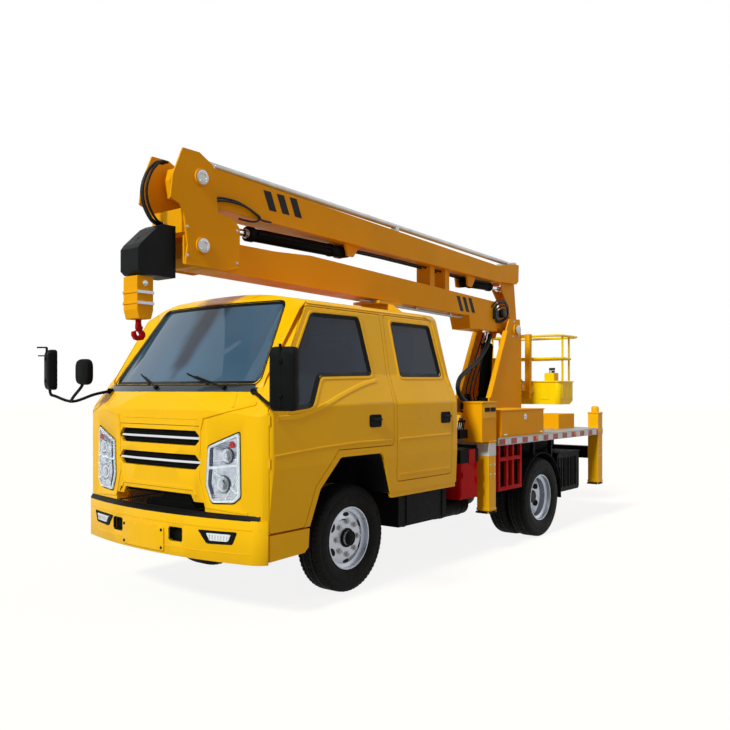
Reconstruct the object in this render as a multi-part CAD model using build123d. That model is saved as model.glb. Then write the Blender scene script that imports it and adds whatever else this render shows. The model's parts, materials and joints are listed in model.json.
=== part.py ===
from build123d import *
from math import atan2, cos, degrees, hypot, radians, sin, sqrt
import os

# Sizes are in millimetres. While a piece is drawn, X runs forward from the front axle,
# Y to the truck's left and Z up from the ground. At the end every piece is moved along X,
# so that the origin lies midway between the winch cover and the rail of the basket.

# Running gear
WHEELBASE = 2800
TYRE_R = 380
TYRE_W = 195
TREAD_HALF = 72
SHOULDER_DROP = 14
RIM_R = 222
RIM_W = 158
RIM_WALL = 9
RIM_DROP = 26
DISC_WALL = 9
WHEEL_SIDES = 36
HUB_R = 74
HAND_HOLE_R = 21
HAND_HOLES = 8
FRONT_WHEEL_Y = 690
FRONT_DISC_OUT = 52
TWIN_GAP = 24
REAR_OUTER_Y = 816
SHAFT_GAP = 0.5
KINGPIN_Y = 625
KINGPIN_R = 22
FIST_R = 38
FIST_H = 100
YOKE_GAP = 6
YOKE_T = 26
SPINDLE_R = 32
BEAM_H = 70
BEAM_W = 80
AXLE_TUBE_R = 60
DIFF_R = 150
DRUM_R = 160
SPRING_W = 56
SPRING_T = 38
SPRING_SPAN = 1050

# Chassis
RAIL_OUT = 365
RAIL_W = 60
RAIL_T = 7
RAIL_Z = 505
RAIL_H = 160
RAIL_FRONT_X = 900
RAIL_REAR_X = -4250
CROSS_W = 60
CROSS_X = (820, -760, -1480, -2240, -3400, -4000)
SEAT_GAP = 0.3

# Engine and driveline
ENGINE_X = (-200, 470)
ENGINE_Y = 275
ENGINE_Z = (430, 790)
GEARBOX_L = 460
GEARBOX_R = 122
PROP_R = 42

# Cab
CAB_FRONT_X = 1095
CAB_REAR_X = -1170
CAB_HALF_W = 942
CAB_FLOOR_Z = 560
CAB_REAR_FLOOR_Z = 685
CAB_BELT_Z = 1340
CAB_ROOF_Z = 2122
CAB_WALL = 45
SKIN = 20
CAB_BOW = 115
CAB_CORNER_R = 100
SCREEN_BASE = (1015, 1445)
SCREEN_HEAD = (575, 2050)
SCREEN_BOW_R = 3500
APART = 3
GLASS_T = 5
GLASS_IN = 14
ARCH_TOP_Z = 985
ARCH_REAR_X = -272
ARCH_FRONT_X = 590
TUNNEL_Y = 470
TUNNEL_Z = 725
DOOR_GAP = 6
DOOR_STEP = 16
DOOR_HINGE_Y = 945
FRONT_DOOR_X = 955
FRONT_DOOR_REAR_X = -300
REAR_DOOR_X = -345
REAR_DOOR_REAR_X = -1090
DOOR_HEAD_Z = 1990
DOOR_LOW_Z = 562
HINGE_Z = (960, 1220)
HINGE_H = 60
REAR_DOOR_LOW_Z = 765
SEAT_Y = 400
SEAT_BACK_T = 130
SEAT_LEAN = 110

# Bumper and front end
BUMPER_Z = (374, 642)
BUMPER_OUT = 48
BUMPER_T = 32
VALANCE_TOP_Z = 548
SLOT_Z = (1128, 975)
SLOT_H = 96
SLOT_HALF = 436
SLOT_POINT = 50
MESH_Z = (664, 768)
MESH_TOP_HALF = 350
MESH_LOW_HALF = 410
STRIP_H = 16

# Deck and what stands on it
DECK_Z = 1010
DECK_PLATE = 8
DECK_HALF_W = 950
DECK_FRONT_X = -1850
DECK_RAIL_H = 70
SUBFRAME_FRONT_X = -1230
BOX_TOP_Z = 1252
OUTRIGGER_X = (-1740, -4180)
OUTRIGGER_Y = 890
OUTRIGGER_W = 120
OUTRIGGER_WALL = 8
OUTRIGGER_LOW_Z = (380, 405)
OUTRIGGER_TOP_Z = (985, 1175)
LEG_GAP = 0.6
FOOT_GAP = 6
FOOT_T = 14
CROSS_BEAM_Z = (673, 800)

# Turret
SLEW_X = -3370
PEDESTAL_R = 300
RING_R = 335
RING_Z = 1120
RING_H = 42
TURRET_BASE_T = 25
TURRET_HALF_W = 205
TURRET_PLATE = 16
LIFT_PIN = (-3610, 2105)
PIN_R = 30

# Lower boom
BOOM_HALF_W = 120
BOOM_WALL = 8
LOWER_FRONT = 930
KNUCKLE_LOW_PIN = (840, 2410)
LIFT_EYE = (-3335, 2096)
LIFT_FOOT = (-3240, 1330)
LIFT_RANGE = 75

# Knuckle, winch and hook
KNUCKLE_Y = 172
KNUCKLE_PLATE = 14
KNUCKLE_PIN = (850, 2870)
WINCH_FRONT_X = 1300
WINCH_HALF_W = 95
HOOK_X = 1230
HOOK_TOP_Z = 2172
HOOK_LOW_Z = 1757
ROPE_R = 8
RAM_PIN_R = 15

# Upper boom
UPPER_FRONT = 905
UPPER_REAR = -3420
UPPER_EYE = (-850, 2612)
UPPER_FOOT = (560, 2598)
UPPER_RANGE = 80

# Jib and basket
JIB_PIN = (-3770, 2715)
JIB_EYE = (-3590, 2580)
JIB_FOOT = (-2830, 2560)
JIB_HALF_W = 60
JIB_END = (-3950, 1470)
JIB_RANGE = 90
CRANK_R = 95
BASKET_FRONT_X = -4150
BASKET_REAR_X = -4560
BASKET_HALF_W = 480
BASKET_LOW_Z = 1265
BASKET_RIM_Z = 1530
BASKET_WALL = 8
RAIL_TUBE_R = 15
TUBE_SIDES = 10
RAIL_TOP_Z = 2065
BASKET_RAIL_REAR_X = -4715
BEAM_X = -4080
BEAM_Y = 120

MID_X = (WINCH_FRONT_X + BASKET_RAIL_REAR_X - RAIL_TUBE_R) / 2


def block(x0, x1, y0, y1, z0, z1):
    """A box between three pairs of limits."""
    size = Box(abs(x1 - x0), abs(y1 - y0), abs(z1 - z0))
    return Pos((x0 + x1) / 2, (y0 + y1) / 2, (z0 + z1) / 2) * size


def outline(points, rounds=0):
    """A closed flat face through the points, with its corners rounded."""
    face = make_face(Polyline(*points, close=True))
    if rounds:
        face = fillet(face.vertices(), rounds)
    return face


def side_plate(face, y0, y1):
    """A face drawn in X and Z, made as thick as the way from y0 to y1."""
    return Pos(0, y1, 0) * Rot(90, 0, 0) * extrude(face, y1 - y0)


def front_plate(face, x0, x1):
    """A face drawn in Y and Z, made as thick as the way from x0 to x1."""
    return extrude(Plane.YZ.offset(x0) * face, x1 - x0)


def flat_plate(face, z0, z1):
    """A face drawn in X and Y, made as thick as the way from z0 to z1."""
    return Pos(0, 0, z0) * extrude(face, z1 - z0)


def cross_pin(place, radius, y0, y1):
    """A round pin across the truck at a place in X and Z."""
    return side_plate(Pos(place[0], place[1]) * Circle(radius), y0, y1)


def post(x, y, radius, z0, z1):
    """An upright round bar."""
    return Pos(x, y, (z0 + z1) / 2) * Cylinder(radius, z1 - z0)


def spun(points, sides):
    """A ring of flat facets about the cross axis from a closed (offset, radius) profile."""
    half_step = radians(180 / sides)
    rows = []
    for turn in range(sides):
        angle = half_step * (2 * turn + 1)
        across = sin(angle) / cos(half_step)
        down = -cos(angle) / cos(half_step)
        rows.append([Vector(r * across, offset_y, r * down) for offset_y, r in points])
    faces = []
    for turn, near in enumerate(rows):
        far = rows[(turn + 1) % sides]
        for number in range(len(points)):
            after = (number + 1) % len(points)
            quad = [near[number], near[after], far[after], far[number]]
            faces.append(Face(Wire.make_polygon(quad, close=True)))
    return Solid(Shell(faces))


def mirrored(shape):
    """The same piece on the other side of the truck."""
    return mirror(shape, Plane.XZ)


def both(shape):
    """A piece together with its twin on the other side."""
    return shape + mirrored(shape)


def between(start, end, radius, y=0.0, from_share=0.0, to_share=1.0):
    """A round bar in the plane of the booms, along part of the way from start to end."""
    dx = end[0] - start[0]
    dz = end[1] - start[1]
    length = hypot(dx, dz)
    mid = (from_share + to_share) / 2
    tilt = degrees(atan2(dx, dz))
    bar = Cylinder(radius, length * (to_share - from_share))
    return Pos(start[0] + dx * mid, y, start[1] + dz * mid) * Rot(0, tilt, 0) * bar


# Wheels

def tyre():
    """One tyre about its own centre, its sidewalls bulging past the bead."""
    half = TYRE_W / 2
    bead = RIM_W / 2 - RIM_WALL
    low = RIM_R + SEAT_GAP
    shoulder = TYRE_R - SHOULDER_DROP
    near = [
        (bead, low), (bead + 14, low + 18), (half - 2, low + 62), (half, low + 90),
        (half - 6, shoulder - 26), (half - 16, shoulder), (TREAD_HALF, TYRE_R),
    ]
    far = [(-offset_y, r) for offset_y, r in reversed(near)]
    return spun(near + far, WHEEL_SIDES)


def rim(disc_at):
    """A pressed rim with its dish, whose mounting face lies disc_at outboard of centre."""
    half = RIM_W / 2
    inner = RIM_R - RIM_WALL
    well = inner - RIM_DROP
    shoulder = well * 0.78
    root = half * 0.3
    bore = HUB_R - 4
    profile = [
        (half, RIM_R), (half * 0.5, RIM_R), (half * 0.32, well + RIM_WALL),
        (-half * 0.32, well + RIM_WALL), (-half * 0.5, RIM_R), (-half, RIM_R),
        (-half, inner), (-half * 0.55, inner), (-half * 0.4, well), (root, well),
        (disc_at - DISC_WALL, shoulder - DISC_WALL), (disc_at - DISC_WALL, bore),
        (disc_at, bore), (disc_at, shoulder), (root + DISC_WALL + 4, well),
        (half * 0.55, inner), (half, inner),
    ]
    body = spun(profile, WHEEL_SIDES)
    ring = (shoulder + HUB_R) / 2 + DISC_WALL
    hole = Rot(90, 0, 0) * extrude(RegularPolygon(HAND_HOLE_R, 10), 300, both=True)
    for turn in range(HAND_HOLES):
        angle = radians(turn * 360 / HAND_HOLES)
        body -= Pos(ring * cos(angle), 0, ring * sin(angle)) * hole
    return body


def hub(y0, y1, bore):
    """A hub barrel with a bore for its spindle."""
    return cross_pin((0, 0), HUB_R, y0, y1) - cross_pin((0, 0), bore, y0, y1)


def front_wheel():
    """Tyre and rim of the front left wheel, in place."""
    place = Pos(0, FRONT_WHEEL_Y, TYRE_R)
    face = FRONT_DISC_OUT
    cap = cross_pin((0, 0), HUB_R - 22, face, face + 34)
    web_end = KINGPIN_Y + FIST_R + YOKE_GAP + 22 - FRONT_WHEEL_Y
    metal = rim(face) + hub(web_end + YOKE_GAP, face, SPINDLE_R + SHAFT_GAP) + cap
    return place * tyre(), place * metal


def rear_wheels():
    """The two tyres and joined rims of the rear left pair, in place."""
    inner_y = REAR_OUTER_Y - TYRE_W - TWIN_GAP
    middle = (REAR_OUTER_Y + inner_y) / 2
    outer = Pos(-WHEELBASE, REAR_OUTER_Y, TYRE_R)
    inner = Pos(-WHEELBASE, inner_y, TYRE_R)
    tyres = outer * tyre() + inner * tyre()
    outer_rim = mirrored(rim(REAR_OUTER_Y - middle))
    inner_rim = rim(middle - inner_y)
    metal = outer * outer_rim + inner * inner_rim
    barrel = hub(middle - 70, middle + 90, SPINDLE_R + SHAFT_GAP)
    cap = cross_pin((0, 0), HUB_R - 22, middle + 90, middle + 104)
    metal += Pos(-WHEELBASE, 0, TYRE_R) * (barrel + cap)
    return tyres, metal


def knuckle_left():
    """The steering knuckle: pin, yoke and spindle of the front left wheel."""
    z = TYRE_R
    low = z - FIST_H / 2 - YOKE_GAP
    high = z + FIST_H / 2 + YOKE_GAP
    body = post(0, KINGPIN_Y, KINGPIN_R, low - YOKE_T, high + YOKE_T)
    web_y = KINGPIN_Y + FIST_R + YOKE_GAP
    web_t = 22
    for bottom in (low - YOKE_T, high):
        body += post(0, KINGPIN_Y, FIST_R, bottom, bottom + YOKE_T)
        body += block(-FIST_R, FIST_R, KINGPIN_Y, web_y + web_t, bottom, bottom + YOKE_T)
    body += block(-FIST_R, FIST_R, web_y, web_y + web_t, low - YOKE_T, high + YOKE_T)
    spindle = cross_pin((0, z), SPINDLE_R, web_y, FRONT_WHEEL_Y + FRONT_DISC_OUT - SHAFT_GAP)
    return body + spindle


def front_axle():
    """The dropped front beam with the fists that hold the kingpins."""
    z = TYRE_R
    beam = block(-BEAM_W / 2, BEAM_W / 2, -KINGPIN_Y, KINGPIN_Y, z - BEAM_H / 2, z + BEAM_H / 2)
    pocket_h = BEAM_H - 2 * 14
    pocket_y = KINGPIN_Y - 150
    for side in (-1, 1):
        x = side * BEAM_W / 2
        beam -= block(x, x - side * 30, -pocket_y, pocket_y, z - pocket_h / 2, z + pocket_h / 2)
    for side in (-1, 1):
        y = side * KINGPIN_Y
        beam += post(0, y, FIST_R, z - FIST_H / 2, z + FIST_H / 2)
    for side in (-1, 1):
        y = side * KINGPIN_Y
        beam -= post(0, y, KINGPIN_R + SHAFT_GAP, z - FIST_H, z + FIST_H)
    seat_y = RAIL_OUT - RAIL_W / 2
    top = z + BEAM_H / 2
    pad = block(-60, 60, seat_y - SPRING_W / 2, seat_y + SPRING_W / 2, top - 5, top + 5)
    return beam + both(pad)


def rear_axle():
    """The rear axle tube with its differential and hub spindles."""
    inner_y = REAR_OUTER_Y - TYRE_W - TWIN_GAP
    middle = (REAR_OUTER_Y + inner_y) / 2
    end = middle - 70 - YOKE_GAP
    tube = cross_pin((-WHEELBASE, TYRE_R), AXLE_TUBE_R, -end, end)
    tube += cross_pin((-WHEELBASE, TYRE_R), SPINDLE_R, -middle - 80, middle + 80)
    bulge = [(130, 60), (90, DIFF_R - 20), (40, DIFF_R), (-40, DIFF_R), (-90, DIFF_R - 20),
             (-130, 60)]
    tube += Pos(-WHEELBASE, 0, TYRE_R) * spun([(130, 20), *bulge, (-130, 20)], 16)
    for side in (-1, 1):
        drum = cross_pin((-WHEELBASE, TYRE_R), DRUM_R, side * end, side * (end - 75))
        tube += drum if side > 0 else mirrored(
            cross_pin((-WHEELBASE, TYRE_R), DRUM_R, end - 75, end))
    nose = Pos(-WHEELBASE + DIFF_R, 0, TYRE_R) * Rot(0, 90, 0) * Cylinder(70, 160)
    return tube + nose


def leaf_spring(x, seat_z):
    """One bowed leaf spring under a rail, its ends just below the rail."""
    end_z = RAIL_Z - SEAT_GAP - SPRING_T
    half = SPRING_SPAN / 2
    low = seat_z + SEAT_GAP
    lower = ThreePointArc((x - half, end_z), (x, low), (x + half, end_z))
    upper = ThreePointArc((x - half, end_z + SPRING_T), (x, low + SPRING_T),
                          (x + half, end_z + SPRING_T))
    face = make_face([lower, Line(lower @ 1, upper @ 1), upper, Line(upper @ 0, lower @ 0)])
    y = RAIL_OUT - RAIL_W / 2
    return side_plate(face, y - SPRING_W / 2, y + SPRING_W / 2)


def leaf_springs():
    """The four leaf springs."""
    front = leaf_spring(0, TYRE_R + BEAM_H / 2 + 5)
    rear = leaf_spring(-WHEELBASE, TYRE_R + AXLE_TUBE_R)
    return both(front + rear)


# Chassis

def chassis_frame():
    """Two channel rails with their open sides inward, joined by cross members."""
    inner = RAIL_OUT - RAIL_W
    rail = block(RAIL_REAR_X, RAIL_FRONT_X, inner, RAIL_OUT, RAIL_Z, RAIL_Z + RAIL_H)
    rail -= block(RAIL_REAR_X, RAIL_FRONT_X, inner, RAIL_OUT - RAIL_T,
                  RAIL_Z + RAIL_T, RAIL_Z + RAIL_H - RAIL_T)
    body = both(rail)
    for x in CROSS_X:
        body += block(x - CROSS_W / 2, x + CROSS_W / 2, -RAIL_OUT + RAIL_T, RAIL_OUT - RAIL_T,
                      RAIL_Z + RAIL_H - 66, RAIL_Z + RAIL_H - 14)
    top = BUMPER_Z[1] - BUMPER_T - SEAT_GAP
    horn = block(RAIL_FRONT_X - 40, RAIL_FRONT_X + 130, inner, RAIL_OUT, RAIL_Z - 40, top)
    body += both(horn)
    high = RAIL_Z + RAIL_H
    for x0, x1, floor in ((-1060, -960, CAB_REAR_FLOOR_Z), (-500, -400, CAB_REAR_FLOOR_Z),
                          (650, 750, TUNNEL_Z)):
        body += both(block(x0, x1, inner, RAIL_OUT, high, floor - SEAT_GAP))
    return body


def engine():
    """Engine and gearbox as one block, with the propeller shaft to the rear axle."""
    x0, x1 = ENGINE_X
    z0, z1 = ENGINE_Z
    body = block(x0, x1, -ENGINE_Y, ENGINE_Y, z0, z1)
    middle = (z0 + z1) / 2 - 60
    box = Pos(x0 - GEARBOX_L / 2, 0, middle) * Rot(0, 90, 0) * Cylinder(GEARBOX_R, GEARBOX_L)
    mount = block(120, 180, ENGINE_Y, RAIL_OUT - RAIL_T - SEAT_GAP, RAIL_Z + 25, RAIL_Z + 85)
    return body + box + both(mount)


def propeller_shaft():
    """The shaft from the gearbox back to the nose of the rear axle."""
    start = (ENGINE_X[0] - GEARBOX_L + 20, (ENGINE_Z[0] + ENGINE_Z[1]) / 2 - 60)
    end = (-WHEELBASE + DIFF_R + 80 + 5, TYRE_R)
    return between(start, end, PROP_R)


def subframe():
    """Rails on top of the chassis that carry the deck, pierced by the outrigger beams."""
    inner = RAIL_OUT - RAIL_W
    low = RAIL_Z + RAIL_H
    high = DECK_Z - DECK_RAIL_H
    rail = block(RAIL_REAR_X, SUBFRAME_FRONT_X, inner, RAIL_OUT, low, high)
    body = both(rail)
    for x in (SUBFRAME_FRONT_X - 140, SLEW_X + 250, SLEW_X - 250):
        body += block(x - CROSS_W / 2, x + CROSS_W / 2, -inner, inner, high - 120, high)
    half = OUTRIGGER_W / 2
    for x in OUTRIGGER_X:
        z0, z1 = CROSS_BEAM_Z
        body -= block(x - half - SEAT_GAP, x + half + SEAT_GAP, -RAIL_OUT, RAIL_OUT,
                      z0 - SEAT_GAP, z1 + SEAT_GAP)
    return body


# Cab

def cab_side_face():
    """Side view of the cab: grille face, raked screen, roof, rear wall, floor and arches."""
    points = [
        (985, CAB_FLOOR_Z), (CAB_FRONT_X - 12, 660), (CAB_FRONT_X, 1000),
        (CAB_FRONT_X - 22, 1300), SCREEN_BASE, SCREEN_HEAD,
        (420, CAB_ROOF_Z), (-960, CAB_ROOF_Z), (-1058, 2045),
        (CAB_REAR_X, 1400), (CAB_REAR_X, CAB_REAR_FLOOR_Z), (ARCH_REAR_X, CAB_REAR_FLOOR_Z),
        (ARCH_REAR_X + 105, ARCH_TOP_Z), (300, ARCH_TOP_Z), (500, 790),
        (ARCH_FRONT_X, CAB_FLOOR_Z),
    ]
    face = make_face(Polyline(*points, close=True))
    soft = [v for v in face.vertices()
            if (v.Y > ARCH_TOP_Z + 10 or v.Y == ARCH_TOP_Z or 700 < v.Y < 900)]
    return fillet(soft, 50)


def cab_front_face(floor_z=CAB_FLOOR_Z):
    """Front view of the cab: upright sides that lean in above the belt, and a crowned roof."""
    low = CAB_HALF_W - 17
    right = [(low, floor_z), (CAB_HALF_W, 950), (CAB_HALF_W - 2, CAB_BELT_Z),
             (872, 1545), (796, 2030)]
    left = [(-y, z) for y, z in reversed(right)]
    crown = ThreePointArc(right[-1], (0, CAB_ROOF_Z - APART), left[0])
    face = make_face([Polyline(*right), crown, Polyline(*left), Line(left[-1], right[0])])
    soft = [v for v in face.vertices() if v.Y > CAB_BELT_Z - 10]
    return fillet(soft, 70)


def plan_face(front_x, half_w, bow, corner_r, rear_x):
    """Plan of a bowed front with rounded corners and straight sides."""
    side_x = front_x - bow
    left = (side_x, half_w)
    right = (side_x, -half_w)
    arc = ThreePointArc(left, (front_x, 0), right)
    face = make_face([arc, Polyline(right, (rear_x, -half_w), (rear_x, half_w), left)])
    soft = [v for v in face.vertices() if v.X > rear_x + 1]
    return fillet(soft, corner_r)


def cab_body(inset):
    """The solid cab with every outer face moved in by the inset."""
    side = cab_side_face()
    front = cab_front_face()
    plan = plan_face(CAB_FRONT_X + APART, CAB_HALF_W + APART, CAB_BOW, CAB_CORNER_R,
                     CAB_REAR_X - 200)
    if inset:
        side = offset(side, -inset, kind=Kind.INTERSECTION)
        front = offset(front, -inset, kind=Kind.INTERSECTION)
        plan = offset(plan, -inset, kind=Kind.INTERSECTION)
    body = side_plate(side, -CAB_HALF_W - 50, CAB_HALF_W + 50)
    body &= front_plate(front, CAB_REAR_X - 50, CAB_FRONT_X + 50)
    body &= flat_plate(plan, CAB_FLOOR_Z - 50, CAB_ROOF_Z + 50)
    dx = SCREEN_HEAD[0] - SCREEN_BASE[0]
    dz = SCREEN_HEAD[1] - SCREEN_BASE[1]
    run = hypot(dx, dz)
    out_x = dz / run
    out_z = -dx / run
    back = SCREEN_BOW_R + APART
    centre = Pos(SCREEN_BASE[0] - back * out_x, 0, SCREEN_BASE[1] - back * out_z)
    drum = centre * Rot(0, degrees(atan2(dx, dz)), 0) * Cylinder(SCREEN_BOW_R - inset, 9000)
    body &= drum
    tunnel_y = TUNNEL_Y + inset
    body -= block(ARCH_FRONT_X - 300, CAB_FRONT_X, -tunnel_y, tunnel_y,
                  CAB_FLOOR_Z - 50, TUNNEL_Z + inset)
    return body


def cab_wide_prism(inset):
    """A bar with the front view of the cab, moved in by the inset."""
    face = cab_front_face(CAB_FLOOR_Z - 200)
    if inset:
        face = offset(face, -inset, kind=Kind.INTERSECTION)
    return front_plate(face, CAB_REAR_X - 80, CAB_FRONT_X + 80)


def front_door_face(shrink=0.0):
    """Outline of a front door, its foot following the wheel arch."""
    points = [
        (FRONT_DOOR_X, DOOR_LOW_Z), (FRONT_DOOR_X, 1345), (835, 1468), (500, DOOR_HEAD_Z),
        (FRONT_DOOR_REAR_X, DOOR_HEAD_Z), (FRONT_DOOR_REAR_X, ARCH_TOP_Z + 52),
        (320, ARCH_TOP_Z + 52), (545, 815), (ARCH_FRONT_X + 52, DOOR_LOW_Z),
    ]
    face = fillet(make_face(Polyline(*points, close=True)).vertices(), 28)
    return offset(face, -shrink) if shrink else face


def rear_door_face(shrink=0.0):
    """Outline of a rear door, its rear edge following the back of the cab."""
    points = [
        (REAR_DOOR_X, REAR_DOOR_LOW_Z), (REAR_DOOR_X, DOOR_HEAD_Z), (-985, DOOR_HEAD_Z),
        (REAR_DOOR_REAR_X, 1400), (REAR_DOOR_REAR_X, REAR_DOOR_LOW_Z),
    ]
    face = fillet(make_face(Polyline(*points, close=True)).vertices(), 34)
    return offset(face, -shrink) if shrink else face


def front_window_face(grow=0.0):
    """Outline of a front door's glass, with its dropped sill towards the mirror."""
    points = [
        (800, 1308), (795, 1420), (455, 1945), (-45, 1950), (-118, 1545), (440, 1530),
        (590, 1328),
    ]
    face = fillet(make_face(Polyline(*points, close=True)).vertices(), 30)
    return offset(face, grow) if grow else face


def rear_window_face(grow=0.0):
    """Outline of a rear door's glass."""
    points = [(-430, 1942), (-945, 1942), (-1032, 1545), (-472, 1540)]
    face = fillet(make_face(Polyline(*points, close=True)).vertices(), 34)
    return offset(face, grow) if grow else face


def screen_face(grow=0.0):
    """Outline of the windscreen seen from the front."""
    points = [(765, 1475), (632, 2035), (-632, 2035), (-765, 1475)]
    face = fillet(make_face(Polyline(*points, close=True)).vertices(), 45)
    return offset(face, grow) if grow else face


def back_window_face(grow=0.0):
    """Outline of the window in the rear wall."""
    points = [(620, 1500), (580, 1930), (-580, 1930), (-620, 1500)]
    face = fillet(make_face(Polyline(*points, close=True)).vertices(), 45)
    return offset(face, grow) if grow else face


def slot_face(z, height, half, point):
    """A slot across the grille with pointed ends."""
    h = height / 2
    return outline([(half - point, z - h), (half, z), (half - point, z + h),
                    (point - half, z + h), (-half, z), (point - half, z - h)])


def mesh_face(shrink=0.0):
    """The lower grille opening, wider at its foot."""
    z0, z1 = MESH_Z
    face = outline([(MESH_LOW_HALF, z0), (MESH_TOP_HALF, z1),
                    (-MESH_TOP_HALF, z1), (-MESH_LOW_HALF, z0)])
    return offset(face, -shrink) if shrink else face


def lamp_face(shrink=0.0):
    """A headlamp seen from the front: tall, its head rising towards the corner."""
    points = [(496, 1085), (745, 1180), (752, 775), (700, 735), (526, 725), (480, 835)]
    face = fillet(make_face(Polyline(*points, close=True)).vertices(), 12)
    return offset(face, -shrink) if shrink else face


CAB_OUTER = cab_body(0)
CAB_SKIN = cab_body(SKIN)
CAB_INNER = cab_body(CAB_WALL)
CAB_GLASS = cab_body(GLASS_IN) - cab_body(GLASS_IN + GLASS_T)
OUTSIDE = CAB_HALF_W + 100
INSIDE = 560


def cab_shell():
    """The cab without its doors: walls, roof, floor and every opening."""
    body = CAB_OUTER - CAB_INNER
    behind_skin = cab_wide_prism(SKIN + DOOR_GAP)
    behind_wall = cab_wide_prism(CAB_WALL + DOOR_GAP)
    for face in (front_door_face, rear_door_face):
        wide = side_plate(face(-DOOR_GAP), INSIDE, OUTSIDE) - behind_skin
        deep = side_plate(face(DOOR_STEP - DOOR_GAP), INSIDE, OUTSIDE) - behind_wall
        body -= both(wide)
        body -= both(deep)
    for x in (FRONT_DOOR_X, REAR_DOOR_X):
        for z in HINGE_Z:
            x0 = x + SHAFT_GAP
            leaf = block(x0, x + DOOR_GAP + 1, CAB_HALF_W - 26, CAB_HALF_W - 6, z, z + HINGE_H)
            body += both(leaf)
    body -= front_plate(screen_face(), 350, CAB_FRONT_X + 100)
    body -= front_plate(back_window_face(), CAB_REAR_X - 100, CAB_REAR_X + 350)
    for z in SLOT_Z:
        body -= front_plate(slot_face(z, SLOT_H, SLOT_HALF, SLOT_POINT), 900, CAB_FRONT_X + 100)
    body -= front_plate(mesh_face(), 900, CAB_FRONT_X + 100)
    body -= both(front_plate(lamp_face(), 800, CAB_FRONT_X + 100))
    return body


def door(outline_face, window_face):
    """A left door with its outer flange, deeper frame and window opening."""
    middle = cab_wide_prism(SKIN)
    skin = (CAB_OUTER & side_plate(outline_face(0), INSIDE, OUTSIDE)) - middle
    frame = CAB_OUTER & middle & side_plate(outline_face(DOOR_STEP), INSIDE, OUTSIDE)
    frame -= cab_wide_prism(CAB_WALL)
    return skin + frame - side_plate(window_face(0), INSIDE, OUTSIDE)


def door_glass(window_face):
    """The glass of a left door, set in the middle of its frame."""
    return CAB_GLASS & side_plate(window_face(-SEAT_GAP), INSIDE, OUTSIDE)


def fixed_glass():
    """Windscreen and rear window."""
    screen = CAB_GLASS & front_plate(screen_face(-SEAT_GAP), 350, CAB_FRONT_X + 100)
    back = CAB_GLASS & front_plate(back_window_face(-SEAT_GAP), CAB_REAR_X - 100,
                                   CAB_REAR_X + 350)
    return screen, back


def grille():
    """Dark slot backs with their bright strips, and the lower mesh."""
    backing = cab_body(SKIN + 4) - CAB_INNER
    body = None
    for z in SLOT_Z:
        face = slot_face(z, SLOT_H - 2 * SEAT_GAP, SLOT_HALF - SEAT_GAP, SLOT_POINT)
        piece = backing & front_plate(face, 900, CAB_FRONT_X + 100)
        body = piece if body is None else body + piece
    body += backing & front_plate(mesh_face(SEAT_GAP), 900, CAB_FRONT_X + 100)
    return body


def grille_strips():
    """The bright strip along the middle of each slot."""
    depth = cab_body(4) - cab_body(SKIN + 4 - SEAT_GAP)
    body = None
    for z in SLOT_Z:
        face = slot_face(z, STRIP_H, SLOT_HALF - 6, 12)
        piece = depth & front_plate(face, 900, CAB_FRONT_X + 100)
        body = piece if body is None else body + piece
    return body


def headlamps():
    """The two tall headlamps, flush with the front panel."""
    depth = cab_body(2) - CAB_INNER
    return both(depth & front_plate(lamp_face(SEAT_GAP), 800, CAB_FRONT_X + 100))


def bumper():
    """The wrap-round bumper with a slot on each side of its middle."""
    z0, z1 = BUMPER_Z
    outer = plan_face(CAB_FRONT_X + BUMPER_OUT, CAB_HALF_W - 4, CAB_BOW + 20, 130, 0)
    inner = offset(outer, -BUMPER_T, kind=Kind.INTERSECTION)
    shell = flat_plate(outer, z0, z1) - flat_plate(inner, z0 - 10, z1 - BUMPER_T)
    shell -= block(-50, FRONT_DOOR_X + 8, -OUTSIDE, OUTSIDE, z0 - 10, z1 + 10)
    shell -= cab_body(-1.5)
    for y in (255, -385):
        shell -= block(CAB_FRONT_X - 60, CAB_FRONT_X + 100, y - 60, y + 60, 470, 556)
    return shell


def valances():
    """The step panels below the front doors, ahead of the wheel arch."""
    z0, z1 = BUMPER_Z[0] + 24, VALANCE_TOP_Z
    face = outline([(ARCH_FRONT_X + 12, z0 + 30), (ARCH_FRONT_X + 50, z0),
                    (FRONT_DOOR_X - 4, z0 - 10), (FRONT_DOOR_X - 4, z1), (ARCH_FRONT_X + 2, z1)])
    panel = side_plate(face, CAB_HALF_W - 60, CAB_HALF_W - 18)
    hanger = block(ARCH_FRONT_X + 60, FRONT_DOOR_X - 60, CAB_HALF_W - 90, CAB_HALF_W - 60,
                   z0 + 30, CAB_FLOOR_Z - SEAT_GAP)
    return both(panel + hanger)


def seats():
    """Two front seats and the rear bench, each cushion and each back a solid of its own."""
    front_floor = ARCH_TOP_Z + CAB_WALL + SEAT_GAP
    rear_floor = CAB_REAR_FLOOR_Z + CAB_WALL + SEAT_GAP
    places = ((front_floor, -10, 250, 230, -SEAT_Y, 270), (front_floor, -10, 250, 230, SEAT_Y, 270),
              (rear_floor, -930, -560, 740, 0, 390))
    pieces = []
    for floor, rear_x, front_x, half_w, y, high in places:
        pieces.append(block(rear_x, front_x, y - half_w, y + half_w, floor, floor + high))
        foot = rear_x - SEAT_GAP
        lean = SEAT_LEAN if high == 270 else SEAT_LEAN / 3
        back = outline([(foot - SEAT_BACK_T, floor), (foot, floor), (foot - lean, floor + 800),
                        (foot - lean - SEAT_BACK_T + 40, floor + 800)])
        pieces.append(side_plate(back, y - half_w, y + half_w))
    return pieces


def dash_face(grow=0.0):
    """Side outline of the dashboard."""
    points = [(640, 1060), (920, 1000), (930, 1330), (860, 1410), (660, 1370)]
    face = outline(points, 30)
    return offset(face, grow) if grow else face


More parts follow.
